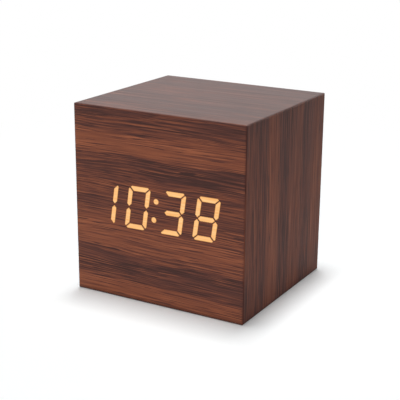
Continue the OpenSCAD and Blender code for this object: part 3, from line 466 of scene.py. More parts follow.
# Angles between faces: one that is merged away, and those that stay sharp on most pieces, on the screws,
# on the wires and round the lit windows
FLAT_ANGLE = math.radians(1)
SHARP_ANGLE = math.radians(38)
SCREW_ANGLE = math.radians(32)
WIRE_ANGLE = math.radians(50)
RIM_ANGLE = math.radians(60)

# Distance at which two points are merged
MERGE_LENGTH = 2 * MICRON

# Share of a normal along an axis from which a face looks that way, roughly or squarely
FACING = 0.9
SQUARE = 0.99

# Turn of the first screw of a set, and from each screw to the next: each has stopped at a turn of its own
FIRST_TURN = 0.35
NEXT_TURN = 1.1


def pick(*pieces):
    """Leaves edit mode and selects these pieces alone; the last one becomes active."""
    if bpy.context.object and bpy.context.object.mode != "OBJECT":
        bpy.ops.object.mode_set(mode="OBJECT")
    bpy.ops.object.select_all(action="DESELECT")
    for piece in pieces:
        piece.select_set(True)
        bpy.context.view_layer.objects.active = piece


def named(name):
    """The active piece, once it and its data have a name."""
    piece = bpy.context.object
    piece.name = piece.data.name = name
    return piece


def apply(piece, kind, **options):
    """Adds a modifier to a piece and applies it."""
    pick(piece)
    modifier = piece.modifiers.new(kind.title(), kind)
    for option, value in options.items():
        setattr(modifier, option, value)
    bpy.ops.object.modifier_apply(modifier=modifier.name)


def smooth(piece, angle=SHARP_ANGLE):
    """Smooth shading that keeps the sharp edges and leaves the flat faces flat."""
    pick(piece)
    bpy.ops.object.shade_smooth_by_angle(angle=angle)
    apply(piece, "WEIGHTED_NORMAL", keep_sharp=True, weight=90)


def copied(piece, name):
    """A copy of a piece with a mesh of its own."""
    pick(piece)
    bpy.ops.object.duplicate()
    return named(name)


def copy_of(node, name):
    """A loose copy of a CAD piece, merged into one closed mesh with clean faces."""
    piece = copied(NODES[node], name)
    piece.parent = None
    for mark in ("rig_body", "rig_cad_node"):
        del piece[mark]
    bpy.ops.object.mode_set(mode="EDIT")
    bpy.ops.mesh.select_all(action="SELECT")
    bpy.ops.mesh.customdata_custom_splitnormals_clear()
    bpy.ops.mesh.remove_doubles(threshold=MERGE_LENGTH)
    bpy.ops.mesh.dissolve_limited(angle_limit=FLAT_ANGLE)
    bpy.ops.object.mode_set(mode="OBJECT")
    return piece


def paint(piece, finish):
    """Gives a piece its finish."""
    piece.data.materials.clear()
    piece.data.materials.append(finish)


def stand_for(piece, node, finish=None):
    """Puts a piece in a CAD piece's place, moving with its body; a piece may have its finish already."""
    if finish:
        paint(piece, finish)
    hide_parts(node)
    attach(piece, BODY_OF[node])


def soften(node, name, edge, finish):
    """Puts a copy in the place of a CAD piece, with its edges rounded by some millimetres."""
    piece = copy_of(node, name)
    apply(piece, "BEVEL", width=edge * MM, segments=2, limit_method="ANGLE", angle_limit=SHARP_ANGLE,
          use_clamp_overlap=False, miter_outer="MITER_ARC")
    smooth(piece)
    stand_for(piece, node, finish)
    return piece


def tube(name, route, thickness, roundness=4):
    """A round wire along a route of places in millimetres, as a closed mesh."""
    pick()
    bpy.ops.curve.primitive_nurbs_path_add()
    wire = named(name)
    spline = wire.data.splines[0]
    spline.points.add(len(route) - len(spline.points))
    for knot, place in zip(spline.points, route):
        knot.co = (*(Vector(place) * MM), 1)
    spline.order_u = 3
    spline.use_endpoint_u = True
    spline.resolution_u = 6
    wire.data.bevel_depth = thickness / 2 * MM
    wire.data.bevel_resolution = roundness
    wire.data.use_fill_caps = True
    pick(wire)
    bpy.ops.object.convert(target="MESH")
    bpy.ops.object.mode_set(mode="EDIT")
    bpy.ops.mesh.select_all(action="SELECT")
    bpy.ops.mesh.remove_doubles(threshold=MERGE_LENGTH)
    bpy.ops.mesh.normals_make_consistent(inside=False)
    bpy.ops.object.mode_set(mode="OBJECT")
    bpy.ops.object.shade_smooth_by_angle(angle=WIRE_ANGLE)
    return bpy.context.object


def settle(piece):
    """Applies a piece's place, turn and size to its mesh."""
    pick(piece)
    bpy.ops.object.transform_apply(location=True, rotation=True, scale=True)


def joined(pieces, name):
    """Several pieces made one."""
    pick(*pieces)
    bpy.ops.object.join()
    return named(name)


def choose(piece, kind, test):
    """Enters edit mode with those faces or edges selected that pass a test."""
    pick(piece)
    bpy.ops.object.mode_set(mode="EDIT")
    bpy.ops.mesh.select_mode(type=kind)
    bpy.ops.mesh.select_all(action="DESELECT")
    bpy.ops.object.mode_set(mode="OBJECT")
    parts = piece.data.polygons if kind == "FACE" else piece.data.edges
    for part in parts:
        part.select = test(part)
    bpy.ops.object.mode_set(mode="EDIT")


def tint(piece, finish, test):
    """Gives one more finish to those faces of a piece that pass a test."""
    piece.data.materials.append(finish)
    choose(piece, "FACE", test)
    piece.active_material_index = len(piece.data.materials) - 1
    bpy.ops.object.material_slot_assign()
    bpy.ops.object.mode_set(mode="OBJECT")


def pull_out(*way):
    """Extrudes the selected faces some millimetres along each axis."""
    bpy.ops.mesh.extrude_region_move(TRANSFORM_OT_translate={"value": tuple(step * MM for step in way)})


def cross_screw(name, head, head_height, shank, length, steel, grime):
    """A pan-head screw on its seat, pointing down, with a cross recess in painted shade and a ridged shank.
    """
    top, radius = head_height * MM, head / 2 * MM
    rounding = min(0.55 * head_height, 0.3 * head) * MM
    slot = (0.56 * head * MM, 0.14 * head * MM, 1.3 * head_height * MM)
    slot_taper = 0.5
    recess_floor, recess_rim, recess_radius = 0.3 * top, 0.98 * top, 0.3 * head * MM
    pitch, groove, tip = 0.4 * shank, 0.12, 0.15
    ridges = int((length - shank) / pitch)

    pick()
    bpy.ops.mesh.primitive_cylinder_add(vertices=40, radius=radius, depth=top, location=(0, 0, top / 2))
    screw = named(name)
    settle(screw)
    corners = screw.data.vertices
    choose(screw, "EDGE", lambda edge: all(corners[i].co.z > top - MERGE_LENGTH for i in edge.vertices))
    bpy.ops.mesh.bevel(offset=rounding, segments=5, affect="EDGES", profile=0.6)
    choose(screw, "FACE", lambda face: face.normal.z < -FACING and face.center.z < MERGE_LENGTH)
    bpy.ops.mesh.inset(thickness=radius - shank / 2 * MM)
    for ridge in range(ridges):
        for size in (1 - groove, 1 / (1 - groove)):
            pull_out(0, 0, -pitch / 2)
            bpy.ops.transform.resize(value=(size, size, 1))
    pull_out(0, 0, ridges * pitch - length)
    bpy.ops.transform.resize(value=(tip, tip, 1))
    bpy.ops.object.mode_set(mode="OBJECT")

    for turn in (0, math.pi / 2):
        pick()
        bpy.ops.mesh.primitive_cube_add(size=1, location=(0, 0, top), rotation=(0, 0, turn))
        cutter = named("recess_cutter")
        cutter.scale = slot
        settle(cutter)
        choose(cutter, "FACE", lambda face: face.normal.z < -FACING)
        bpy.ops.transform.resize(value=(slot_taper, slot_taper, 1))
        apply(screw, "BOOLEAN", operation="DIFFERENCE", object=cutter, solver="EXACT")
        bpy.data.objects.remove(cutter)
    smooth(screw, SCREW_ANGLE)
    paint(screw, steel)
    # The faces inside the cross recess get the dark finish, painted shade in the recess
    tint(screw, grime, lambda face: (
        recess_floor < face.center.z < recess_rim and face.center.xy.length < recess_radius))
    return screw


def set_screws(master, name, places, seat, towards):
    """Copies of a screw on their seats, with their heads towards the back or the front; the master goes."""
    screws = []
    for number, (x, z) in enumerate(places):
        screw = copied(master, f"{name}_{number}")
        screw.rotation_euler = (-towards * math.pi / 2, FIRST_TURN + NEXT_TURN * number, 0)
        screw.location = (x * MM, seat * MM, z * MM)
        settle(screw)
        screws.append(screw)
    bpy.data.objects.remove(master)
    return joined(screws, name)


def raised(sign, depth):
    """Gives a flat sign its thickness towards the back, or towards the front where it is negative."""
    choose(sign, "FACE", lambda face: True)
    pull_out(0, depth, 0)
    bpy.ops.mesh.select_all(action="SELECT")
    bpy.ops.mesh.normals_make_consistent(inside=False)
    bpy.ops.object.mode_set(mode="OBJECT")
    return sign


def hollow(sign, line):
    """Leaves only a line along the border of a flat sign."""
    choose(sign, "FACE", lambda face: True)
    bpy.ops.mesh.inset(thickness=line * MM)
    bpy.ops.mesh.delete(type="FACE")
    bpy.ops.object.mode_set(mode="OBJECT")


def patch(name, corners, radius, place, depth, turn=0.0, hole=0.0):
    """A sign with even corners on an upright face, or a ring where it has a hole."""
    pick()
    bpy.ops.mesh.primitive_circle_add(vertices=corners, radius=radius * MM, fill_type="NGON",
                                      location=Vector(place) * MM, rotation=(-math.pi / 2, turn, 0))
    sign = named(name)
    settle(sign)
    if hole:
        hollow(sign, radius - hole)
    return raised(sign, depth)


def bar(name, size, place, depth, line=0.0):
    """A straight sign on an upright face, or its outline where a line is given."""
    pick()
    bpy.ops.mesh.primitive_plane_add(size=MM, location=Vector(place) * MM, rotation=(-math.pi / 2, 0, 0))
    sign = named(name)
    sign.scale = (*size, 1)
    settle(sign)
    if line:
        hollow(sign, line)
    return raised(sign, depth)


# Settings

def a_colour(name, description, default):
    """A setting that holds a colour."""
    return bpy.props.FloatVectorProperty(
        name=name, description=description, default=default, size=3, subtype="COLOR", min=0, max=1)


def a_length(name, description, default):
    """A setting that holds a length in metres."""
    return bpy.props.FloatProperty(
        name=name, description=description, default=default, unit="LENGTH", precision=5)


def a_share(name, description, default):
    """A setting that holds a share or a strength."""
    return bpy.props.FloatProperty(
        name=name, description=description, default=default, min=0, subtype="FACTOR")


def an_angle(name, description, degrees):
    """A setting that holds an angle."""
    return bpy.props.FloatProperty(
        name=name, description=description, default=math.radians(degrees), subtype="ANGLE")


class FilmSettings(bpy.types.PropertyGroup):
    """Printed wood film and the fibreboard behind it."""

    pore: a_colour("Pore", "Open pores", (0.042, 0.018, 0.015))
    darkest: a_colour("Darkest", "Darkest streaks", (0.06, 0.024, 0.02))
    dark: a_colour("Dark", "Dark bands of the wood", (0.105, 0.036, 0.025))
    middle: a_colour("Middle", "Middle tone of the wood", (0.15, 0.048, 0.028))
    light: a_colour("Light", "Light bands of the wood", (0.23, 0.074, 0.037))
    lightest: a_colour("Lightest", "Lightest fibres of the wood", (0.29, 0.097, 0.048))
    core_dark: a_colour("Core, dark", "Dark crumbs of the stained fibreboard", (0.055, 0.028, 0.018))
    core_light: a_colour("Core, light", "Light fibres of the stained fibreboard", (0.105, 0.055, 0.033))
    # Edge tone, edge wear and foot wear paint shade into the film: along the edges of the case, patchy like
    # wear, and darkest at the foot of its sides
    edge_shade_tone: a_colour("Edge tone", "Film darkened by painted shade along the edges", (0.04, 0.013, 0.01))
    edge_shade_and_wear: a_share("Edge shade and wear", "How much painted shade, patchy like wear, darkens the edges of the case", 0.5)
    foot_shade: a_share("Foot shade", "How much the lower edge has darkened", 0.95)
    thickness: a_length("Thickness", "Thickness of the film", 0.0003)
    band_drift: a_length("Band drift", "How far the bands wander along the grain", 0.002)
    band_waver: a_length("Band waver", "How far the edges of the bands waver", 0.0008)
    emboss: a_length("Emboss", "Depth of the pores pressed into the film", 0.00002)
    broad_streaks: a_share("Broad streaks", "Strength of the broad streaks", 0.4)
    fine_streaks: a_share("Fine streaks", "Strength of the fine streaks", 1.4)
    fibres: a_share("Fibres", "Strength of the fibres", 3.6)
    pores: a_share("Pores", "Strength of the dark pores", 0.95)
    roughness: a_share("Roughness", "Roughness of the film's satin skin", 0.42)
    gloss_ior: bpy.props.FloatProperty(
        name="Gloss", description="Index of refraction of the film's skin", default=1.16, min=1, max=2)


class DisplaySettings(bpy.types.PropertyGroup):
    """Light windows of the display."""

    amber: a_colour("Amber", "Light of the lit windows", (0.985, 0.545, 0.22))
    bright: a_colour("Bright", "Brightest part of the light", (1.0, 0.62, 0.29))
    streak: a_colour("Streak", "Light behind a dark fibre of the film", (0.93, 0.44, 0.14))
    behind: a_colour("Behind", "Lit windows without their light", (0.02, 0.01, 0.004))
    unlit: a_colour("Unlit", "Windows that are dark", (0.27, 0.24, 0.2))
    strength: a_share("Strength", "Strength of the light", 1.0)
    rim: a_length("Rim", "Width of a lit window's rounded rim", 0.00008)
    edge_light: a_colour("Edge light", "Dimmer light along a lit window's edge", (0.88, 0.42, 0.13))
    edge: a_length("Edge", "Width of the dimmer light along the edge", 0.00009)


class CoverSettings(bpy.types.PropertyGroup):
    """Moulded back cover, battery door, keys and socket."""

    black: a_colour("Black", "Plastic of the cover and the door", (0.016, 0.016, 0.017))
    key_black: a_colour("Key black", "Plastic of the keys", (0.024, 0.024, 0.026))
    sign: a_colour("Sign", "Print of the signs", (0.62, 0.62, 0.6))
    edge: a_length("Edge", "Radius of the moulded edges", 0.00018)
    sign_height: a_length("Sign height", "Height of the signs over the keys", 0.0015)
    sign_relief: a_length("Sign relief", "Thickness of the print", 0.00006)
    mark_relief: a_length("Mark relief", "Height of the cells' marks inside the door", 0.0002)


class InsideSettings(bpy.types.PropertyGroup):
    """Pieces inside the case."""

    steel: a_colour("Steel", "Plated steel", (0.62, 0.61, 0.59))
    screw: a_colour("Screw", "Zinc-plated screws", (0.4, 0.4, 0.39))
    lacquer_dark: a_colour("Lacquer, dark", "Circuit board between the tracks", (0.006, 0.05, 0.022))
    lacquer_light: a_colour("Lacquer, light", "Circuit board over the tracks", (0.016, 0.12, 0.05))
    tin: a_colour("Tin", "Bare pads", (0.7, 0.69, 0.66))
    sleeve: a_colour("Sleeve", "Sleeve of the cells", (0.022, 0.06, 0.16))
    sleeve_dark: a_colour("Sleeve, dark", "Duller parts of the sleeve", (0.014, 0.04, 0.11))
    sleeve_band: a_colour("Sleeve band", "Pale band round the cells", (0.55, 0.56, 0.58))
    diode: a_colour("Diode", "Resin of the light-emitting diodes", (0.75, 0.62, 0.3))
    ivory: a_colour("Ivory", "Pale moulded plastic", (0.72, 0.69, 0.6))
    part_black: a_colour("Part black", "Black moulded parts", (0.014, 0.014, 0.015))
    housing: a_colour("Housing", "Grey of the display housing", (0.05, 0.05, 0.055))
    red: a_colour("Red lead", "Insulation of the red lead", (0.42, 0.022, 0.016))
    dark_lead: a_colour("Black lead", "Insulation of the black lead", (0.014, 0.014, 0.014))
    ribbon: a_colour("Ribbon", "Insulation of the ribbon", (0.4, 0.4, 0.41))


class StageSettings(bpy.types.PropertyGroup):
    """Camera, lamps and floor."""

    azimuth: an_angle("Azimuth", "Camera's turn to the right of the front", 29.794)
    elevation: an_angle("Elevation", "Camera's height as an angle", 17.263)
    roll: an_angle("Roll", "Camera's roll", 0.429)
    distance: a_length("Distance", "Camera's distance", 0.343409)
    aim_right: a_length("Aim right", "Aim right of the clock's middle", -0.000615)
    aim_up: a_length("Aim up", "Aim above the clock's middle", -0.003368)
    focal_length: bpy.props.FloatProperty(
        name="Focal length", description="Camera's focal length in millimetres", default=92.255, min=1)
    front_light: a_share("Front light", "Light that the front lamp gives a face turned to it", 0.75)
    top_light: a_share("Top light", "Light that the top lamp gives the clock's top", 0.99)
    back_light: a_share("Back light", "Light that the back lamp gives a face turned to it", 0.15)
    fill: a_share("Fill", "Light of the room", 0.06)
    floor: a_colour("Floor", "Floor as the clock sees it", (0.6, 0.6, 0.6))
    floor_seen: a_colour("Floor, seen", "Floor as the camera and reflections see it", (0.78, 0.796, 0.8))
    floor_glow: a_share("Floor glow", "Glow that lifts the shadow round the clock", 0.2)
    shadow_reach: a_length("Shadow reach", "Distance from which the floor is plain white", 0.25)


# Stage

# Middle of the clock in metres, and the elevation in degrees from which a lamp hangs overhead
MIDDLE = Vector((0, 0, TOP_Z / 2 * MM))
OVERHEAD = 45


def direction(azimuth, elevation):
    """The way to a place right of the clock's front and above it, by angles in radians."""
    level = math.cos(elevation)
    return Vector((math.sin(azimuth) * level, -math.cos(azimuth) * level, math.sin(elevation)))


def lay_floor(look):
    """A sheet of paper that the camera sees as plain white, apart from the shadow round the clock."""
    pick()
    bpy.ops.mesh.primitive_grid_add(x_subdivisions=8, y_subdivisions=8, size=6)
    floor = named("floor")
    paper = Finish("floor_paper", Roughness=0.9, Specular_IOR_Level=0.0)
    seen = paper.seen()
    place = paper.add("TexCoord").outputs["Object"]
    distance = paper.add("VectorMath", {0: place}, operation="LENGTH").outputs["Value"]
    open_floor = paper.span(distance, look.shadow_reach / 2, look.shadow_reach)
    paper_seen = paper.mix(open_floor, look.floor_seen, (0, 0, 0))
    glow = paper.maths("MULTIPLY", seen, paper.span(open_floor, 0, 1, look.floor_glow, 1))
    paint(floor, paper.wear(Base_Color=paper.mix(seen, look.floor, paper_seen),
                            Emission_Color=(1, 1, 1), Emission_Strength=glow))


def light_room(look):
    """A room that looks white and gives the clock little light."""
    world = bpy.data.worlds.new("studio_room")
    bpy.context.scene.world = world
    world.use_nodes = True
    room = Shading(world.node_tree, "Background")
    strength = room.span(room.seen(), 0, 1, look.fill, 1)
    room.feed(room.surface, {"Color": (1, 1, 1), "Strength": strength})


def hang_lamps(look):
    """Lamps before, over and behind the clock."""
    # Name, azimuth and elevation in degrees, distance and sides in metres, and light
    lamps = (
        ("front_lamp", 21.5, 1.6, 1.5, (0.9, 0.12), look.front_light),
        ("top_lamp", -138.4, 85.6, 1.4, (0.222, 0.444), look.top_light),
        ("back_lamp", 162.0, 9.0, 1.4, (0.9, 0.3), look.back_light),
    )
    for name, azimuth, elevation, distance, size, light in lamps:
        towards = direction(math.radians(azimuth), math.radians(elevation))
        # A lamp overhead hangs level and in line with the case
        turned = (0, 0, 0) if elevation > OVERHEAD else towards.to_track_quat("Z", "Y").to_euler()
        pick()
        bpy.ops.object.light_add(type="AREA", location=MIDDLE + towards * distance, rotation=turned)
        lamp = named(name)
        lamp.data.shape = "RECTANGLE"
        lamp.data.size, lamp.data.size_y = size
        # Power that gives a face turned to the lamp its light from this distance
        lamp.data.energy = light * (math.pi * distance) ** 2
        # The front lamp's mirror image would draw white lines along the edges of the case
        lamp.visible_glossy = name != "front_lamp"


def place_camera(look):
    """The camera, where the photo was taken from."""
    back = direction(look.azimuth, look.elevation)
    right = Vector((math.cos(look.azimuth), math.sin(look.azimuth), 0))
    up = back.cross(right)
    eye = MIDDLE + right * look.aim_right + up * look.aim_up + back * look.distance
    rolled_right = right * math.cos(look.roll) + up * math.sin(look.roll)
    rolled_up = up * math.cos(look.roll) - right * math.sin(look.roll)
    axes = Matrix((rolled_right, rolled_up, back)).transposed()
    pick()
    bpy.ops.object.camera_add(location=eye, rotation=axes.to_euler())
    camera = named("photo_camera")
    camera.data.sensor_width = 36
    camera.data.lens = look.focal_length
    camera.data.clip_start = 0.01
    camera.data.clip_end = 20
    bpy.context.scene.camera = camera


# Operators

class CLOCK_OT_case(bpy.types.Operator):
    """Cover the front and the four boards with wood film"""

    bl_idname = "clock.case"
    bl_label = "Case"

    def execute(self, context):
        films = {
            "front_film": wood_film(
                "film_front", FRONT_TURN, FRONT_BANDS, first=0, outer=-FRONT_Y, seed=1.0,
                gloss=0.08, lengthways=FRONT_RUN),
            "top_board": wood_film(
                "film_top", TOP_TURN, TOP_BANDS, first=FRONT_Y, outer=TOP_Z, seed=31.0,
                grain=0.75, gloss=0.24, broadness=0.5),
            "bottom_board": wood_film(
                "film_bottom", BOTTOM_TURN, TOP_BANDS, first=FRONT_Y, outer=0, seed=53.0),
            "right_board": wood_film(
                "film_right", RIGHT_TURN, SIDE_BANDS, first=FRONT_Y, outer=SIDE_X, seed=71.0,
                grain=0.72, gloss=-0.03, lengthways=RIGHT_SHEEN_AND_SHADE, width=1.35, broadness=0.4),
            "left_board": wood_film(
                "film_left", LEFT_TURN, SIDE_BANDS, first=FRONT_Y, outer=SIDE_X, seed=97.0,
                grain=0.55, width=1.2),
        }
        for node, film in films.items():
            paint(NODES[node], film)
        raw = fibreboard("raw_fibreboard")
        paint(NODES["front_board"], raw)
        soften("corner_blocks", "corner_block_set", 0.3, raw)
        return {"FINISHED"}


class CLOCK_OT_display(bpy.types.Operator):
    """Light the display's windows and finish the housing behind them"""

    bl_idname = "clock.display"
    bl_label = "Display"

    def execute(self, context):
        look = settings("display")
        inside = settings("inside")
        windows = copy_of("lit_segments", "lit_windows")
        apply(windows, "BEVEL", width=look.rim, segments=2, limit_method="ANGLE",
              angle_limit=RIM_ANGLE, use_clamp_overlap=False)
        smooth(windows)
        light = lit_window("amber_light", look.bright, look.amber, look.streak)
        stand_for(windows, "lit_segments", light)

        # The light is dimmer along the edges of each window
        choose(windows, "FACE", lambda face: face.normal.y < -SQUARE)
        bpy.ops.mesh.inset(thickness=look.edge)
        bpy.ops.object.mode_set(mode="OBJECT")
        middles = {face.index for face in windows.data.polygons if face.select}
        edge_light = lit_window("amber_edge", look.amber, look.edge_light, look.edge_light)
        tint(windows, edge_light, lambda face: face.index not in middles)

        dark = moulded_plastic("dark_window", look.unlit, roughness=0.3)
        grey = moulded_plastic("housing_grey", inside.housing, roughness=0.6)
        resin = moulded_plastic("diode_resin", inside.diode, roughness=0.35)
        # Node, piece, radius of its edges in millimetres, and its finish
        for node, name, edge, finish in (
                ("unlit_segments", "dark_windows", 0.05, dark),
                ("display_housing", "light_wells", 0.12, grey),
                ("segment_leds", "diode_chips", 0.08, resin)):
            soften(node, name, edge, finish)
        return {"FINISHED"}


class CLOCK_OT_cover(bpy.types.Operator):
    """Mould the back cover, its door, keys and socket"""

    bl_idname = "clock.cover"
    bl_label = "Back cover"

    def execute(self, context):
        look = settings("cover")
        inside = settings("inside")
        cover = moulded_plastic("cover_black", look.black, roughness=0.46)
        keys = moulded_plastic("key_black", look.key_black, roughness=0.38, grain=0.3, depth=6 * MICRON)
        socket = moulded_plastic("socket_black", inside.part_black, roughness=0.35)
        soften("back_cover", "cover_moulding", look.edge / MM, cover)
        soften("battery_door", "door_moulding", look.edge / MM, cover)
        for key in ("set", "up", "down"):
            soften(key + "_key", key + "_key_cap", 0.1, keys)
        soften("power_socket", "socket_housing", 0.15, socket)
        return {"FINISHED"}


class CLOCK_OT_screws(bpy.types.Operator):
    """Set the cross-head screws of the cover and the circuit boards"""

    bl_idname = "clock.screws"
    bl_label = "Screws"

    def execute(self, context):
        inside = settings("inside")
        # A dark, dull steel paints shade into the screws' recesses
        dark = dimmed(inside.screw, 0.16)
        steel = plated_metal("screw_steel", inside.screw, roughness=0.34, brush=(0.5, 0.5, 0.5))
        grime = plated_metal("recess_shade", dark, roughness=0.6, brush=(0.3, 0.3, 0.3))
        # Node, diameter and height of the heads and diameter of the shanks in millimetres, and 1 where the
        # heads look back
        for node, head, head_height, shank, towards in (
                ("cover_screws", 4.2, 1.4, 2.2, 1),
                ("display_screws", 3.6, 1.2, 1.9, 1),
                ("key_board_screws", 3.6, 1.2, 1.9, -1)):
            low, high = (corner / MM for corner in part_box(node))
            length = high.y - low.y - head_height
            seat = high.y - head_height if towards > 0 else low.y + head_height
            left, right = low.x + head / 2, high.x - head / 2
            bottom, top = low.z + head / 2, high.z - head / 2
            rows = (bottom, top) if top - bottom > head else ((bottom + top) / 2,)
            places = [(x, z) for x in (left, right) for z in rows]
            master = cross_screw("screw_master", head, head_height, shank, length, steel, grime)
            stand_for(set_screws(master, node[:-1] + "_set", places, seat, towards), node)
        return {"FINISHED"}


class CLOCK_OT_cells(bpy.types.Operator):
    """Fill the battery bay: cells, contact plates and springs"""

    bl_idname = "clock.cells"
    bl_label = "Cells and contacts"

    def execute(self, context):
        inside = settings("inside")
        can = plated_metal("cell_steel", inside.steel, roughness=0.24)
        nickel = plated_metal("contact_nickel", inside.steel, roughness=0.32)
        spring = plated_metal("spring_nickel", inside.steel, roughness=0.25, brush=(0.3, 0.3, 0.3))
        soften("cell_cans", "cell_can_set", 0.25, can)
        soften("cell_jackets", "cell_sleeve_set", 0.06, printed_sleeve("cell_sleeve"))
        soften("contact_plates", "contact_plate_set", 0.05, nickel)

        # Cone springs of round wire, in millimetres, each with a last turn at its tip that lies flat
        base_radius, tip_radius, rise, wire = 3.6, 2.2, 3.6, 0.4
        turn_steps = 12
        rise_steps = 3 * turn_steps
        low, high = (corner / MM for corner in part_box("contact_springs"))
        cans_low, cans_high = (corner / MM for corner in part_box("cell_cans"))
        diameter = cans_high.y - cans_low.y
        depth = (cans_low.y + cans_high.y) / 2
        bottom = cans_low.z + diameter / 2
        pitch = (cans_high.z - cans_low.z - diameter) / 2
        springs = []
        for row, way in enumerate((1, -1, 1)):
            start = low.x + wire / 2 if way > 0 else high.x - wire / 2
            route = []
            for step in range(rise_steps + turn_steps + 1):
                share = min(1, step / rise_steps)
                eased = share * share * (3 - 2 * share)
                radius = base_radius + (tip_radius - base_radius) * share
                turn = 2 * math.pi / turn_steps * step
                route.append((start + way * rise * eased, depth + radius * math.cos(turn),
                              bottom + row * pitch + radius * math.sin(turn)))
            springs.append(tube(f"contact_spring_{row}", route, wire, roundness=3))
        stand_for(joined(springs, "contact_spring_set"), "contact_springs", spring)
        return {"FINISHED"}


class CLOCK_OT_wiring(bpy.types.Operator):
    """Run the battery leads and the ribbon cable"""

    bl_idname = "clock.wiring"
    bl_label = "Wiring"

    def execute(self, context):
        inside = settings("inside")
        # Thickness of the leads and their routes from the contact plates to the key board, in millimetres
        lead = 1.2
        red_route = [
            (24.375, 11.1, 41.1), (24.375, 9.9, 41.1), (23.375, 8.5, 43.6), (19.875, 8.5, 47.4),
            (14.4, 11, 51.1), (14, 14.1, 52.1), (14, 16.5, 52.1),
        ]
        black_route = [
            (-24.375, 11.1, 18.3), (-24.375, 9.9, 18.3), (-23.775, 8.5, 21.3), (-23.375, 8.5, 29.7),
            (-22.975, 8.5, 41.1), (-19.875, 8.5, 47.4), (-14.4, 11, 51.1), (-14, 14.1, 52.1),
            (-14, 16.5, 52.1),
        ]
        leads = [tube("red_lead", red_route, lead), tube("black_lead", black_route, lead)]
        lead_cover = wire_cover("lead_cover", inside.red, inside.dark_lead)
        stand_for(joined(leads, "battery_lead_pair"), "battery_leads", lead_cover)

        # The ribbon's strands run into one another and rise in one even bend between straight ends
        strands, thickness, straight, steps, overlap = 10, 1.0, 2.0, 14, 1.04
        low, high = (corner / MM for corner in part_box("ribbon_cable"))
        pitch = (high.x - low.x) / strands
        foot, head = low.z + thickness / 2, high.z - thickness / 2
        bend = [(low.y, foot)]
        for step in range(steps + 1):
            share = step / steps
            eased = (1 - math.cos(math.pi * share)) / 2
            y = low.y + straight + (high.y - low.y - 2 * straight) * share
            bend.append((y, foot + (head - foot) * eased))
        bend.append((high.y, head))
        wires = []
        for strand in range(strands):
            x = low.x + pitch * (strand + 0.5)
            route = [(x, y, z) for y, z in bend]
            wires.append(tube(f"ribbon_strand_{strand}", route, pitch * overlap, roundness=3))
        grey = wire_cover("ribbon_grey", inside.ribbon)
        stand_for(joined(wires, "ribbon_strands"), "ribbon_cable", grey)
        return {"FINISHED"}


class CLOCK_OT_boards(bpy.types.Operator):
    """Finish the circuit boards and the parts on them"""

    bl_idname = "clock.boards"
    bl_label = "Circuit boards"

    def execute(self, context):
        inside = settings("inside")
        lacquer = circuit_lacquer("board_lacquer")
        for node in ("display_board", "key_board"):
            paint(NODES[node], lacquer)
        ivory = moulded_plastic("ivory_plastic", inside.ivory, roughness=0.5)
        resin = moulded_plastic("part_resin", inside.part_black, roughness=0.55)
        steel = plated_metal("part_steel", inside.steel, roughness=0.25)
        tin = plated_metal("part_tin", inside.tin, roughness=0.35, brush=(0.2, 0.2, 0.2))
        # Node, piece, radius of its edges in millimetres, and its finish
        for node, name, edge, finish in (
                ("clock_chip", "chip_body", 0.12, resin),
                ("quartz_crystal", "crystal_can", 0.3, steel),
                ("buzzer", "buzzer_body", 0.35, resin),
                ("smoothing_capacitor", "capacitor_can", 0.3, steel),
                ("temperature_sensor", "sensor_bead", 0.05, resin),
                ("ribbon_sockets", "ribbon_socket_pair", 0.2, ivory),
                ("key_switches", "switch_set", 0.2, resin),
                ("set_plunger", "set_plunger_pin", 0.2, ivory),
                ("up_plunger", "up_plunger_pin", 0.2, ivory),
                ("down_plunger", "down_plunger_pin", 0.2, ivory),
                ("display_spacers", "spacer_set", 0.15, ivory)):
            soften(node, name, edge, finish)
        microphone = soften("microphone", "microphone_can", 0.2, steel)
        soften("socket_pin", "socket_centre_pin", 0.2, tin)
        felt = wire_cover("microphone_felt", inside.part_black)
        tint(microphone, felt, lambda face: face.normal.y > FACING)
        paint(NODES["chip_legs"], tin)
        return {"FINISHED"}


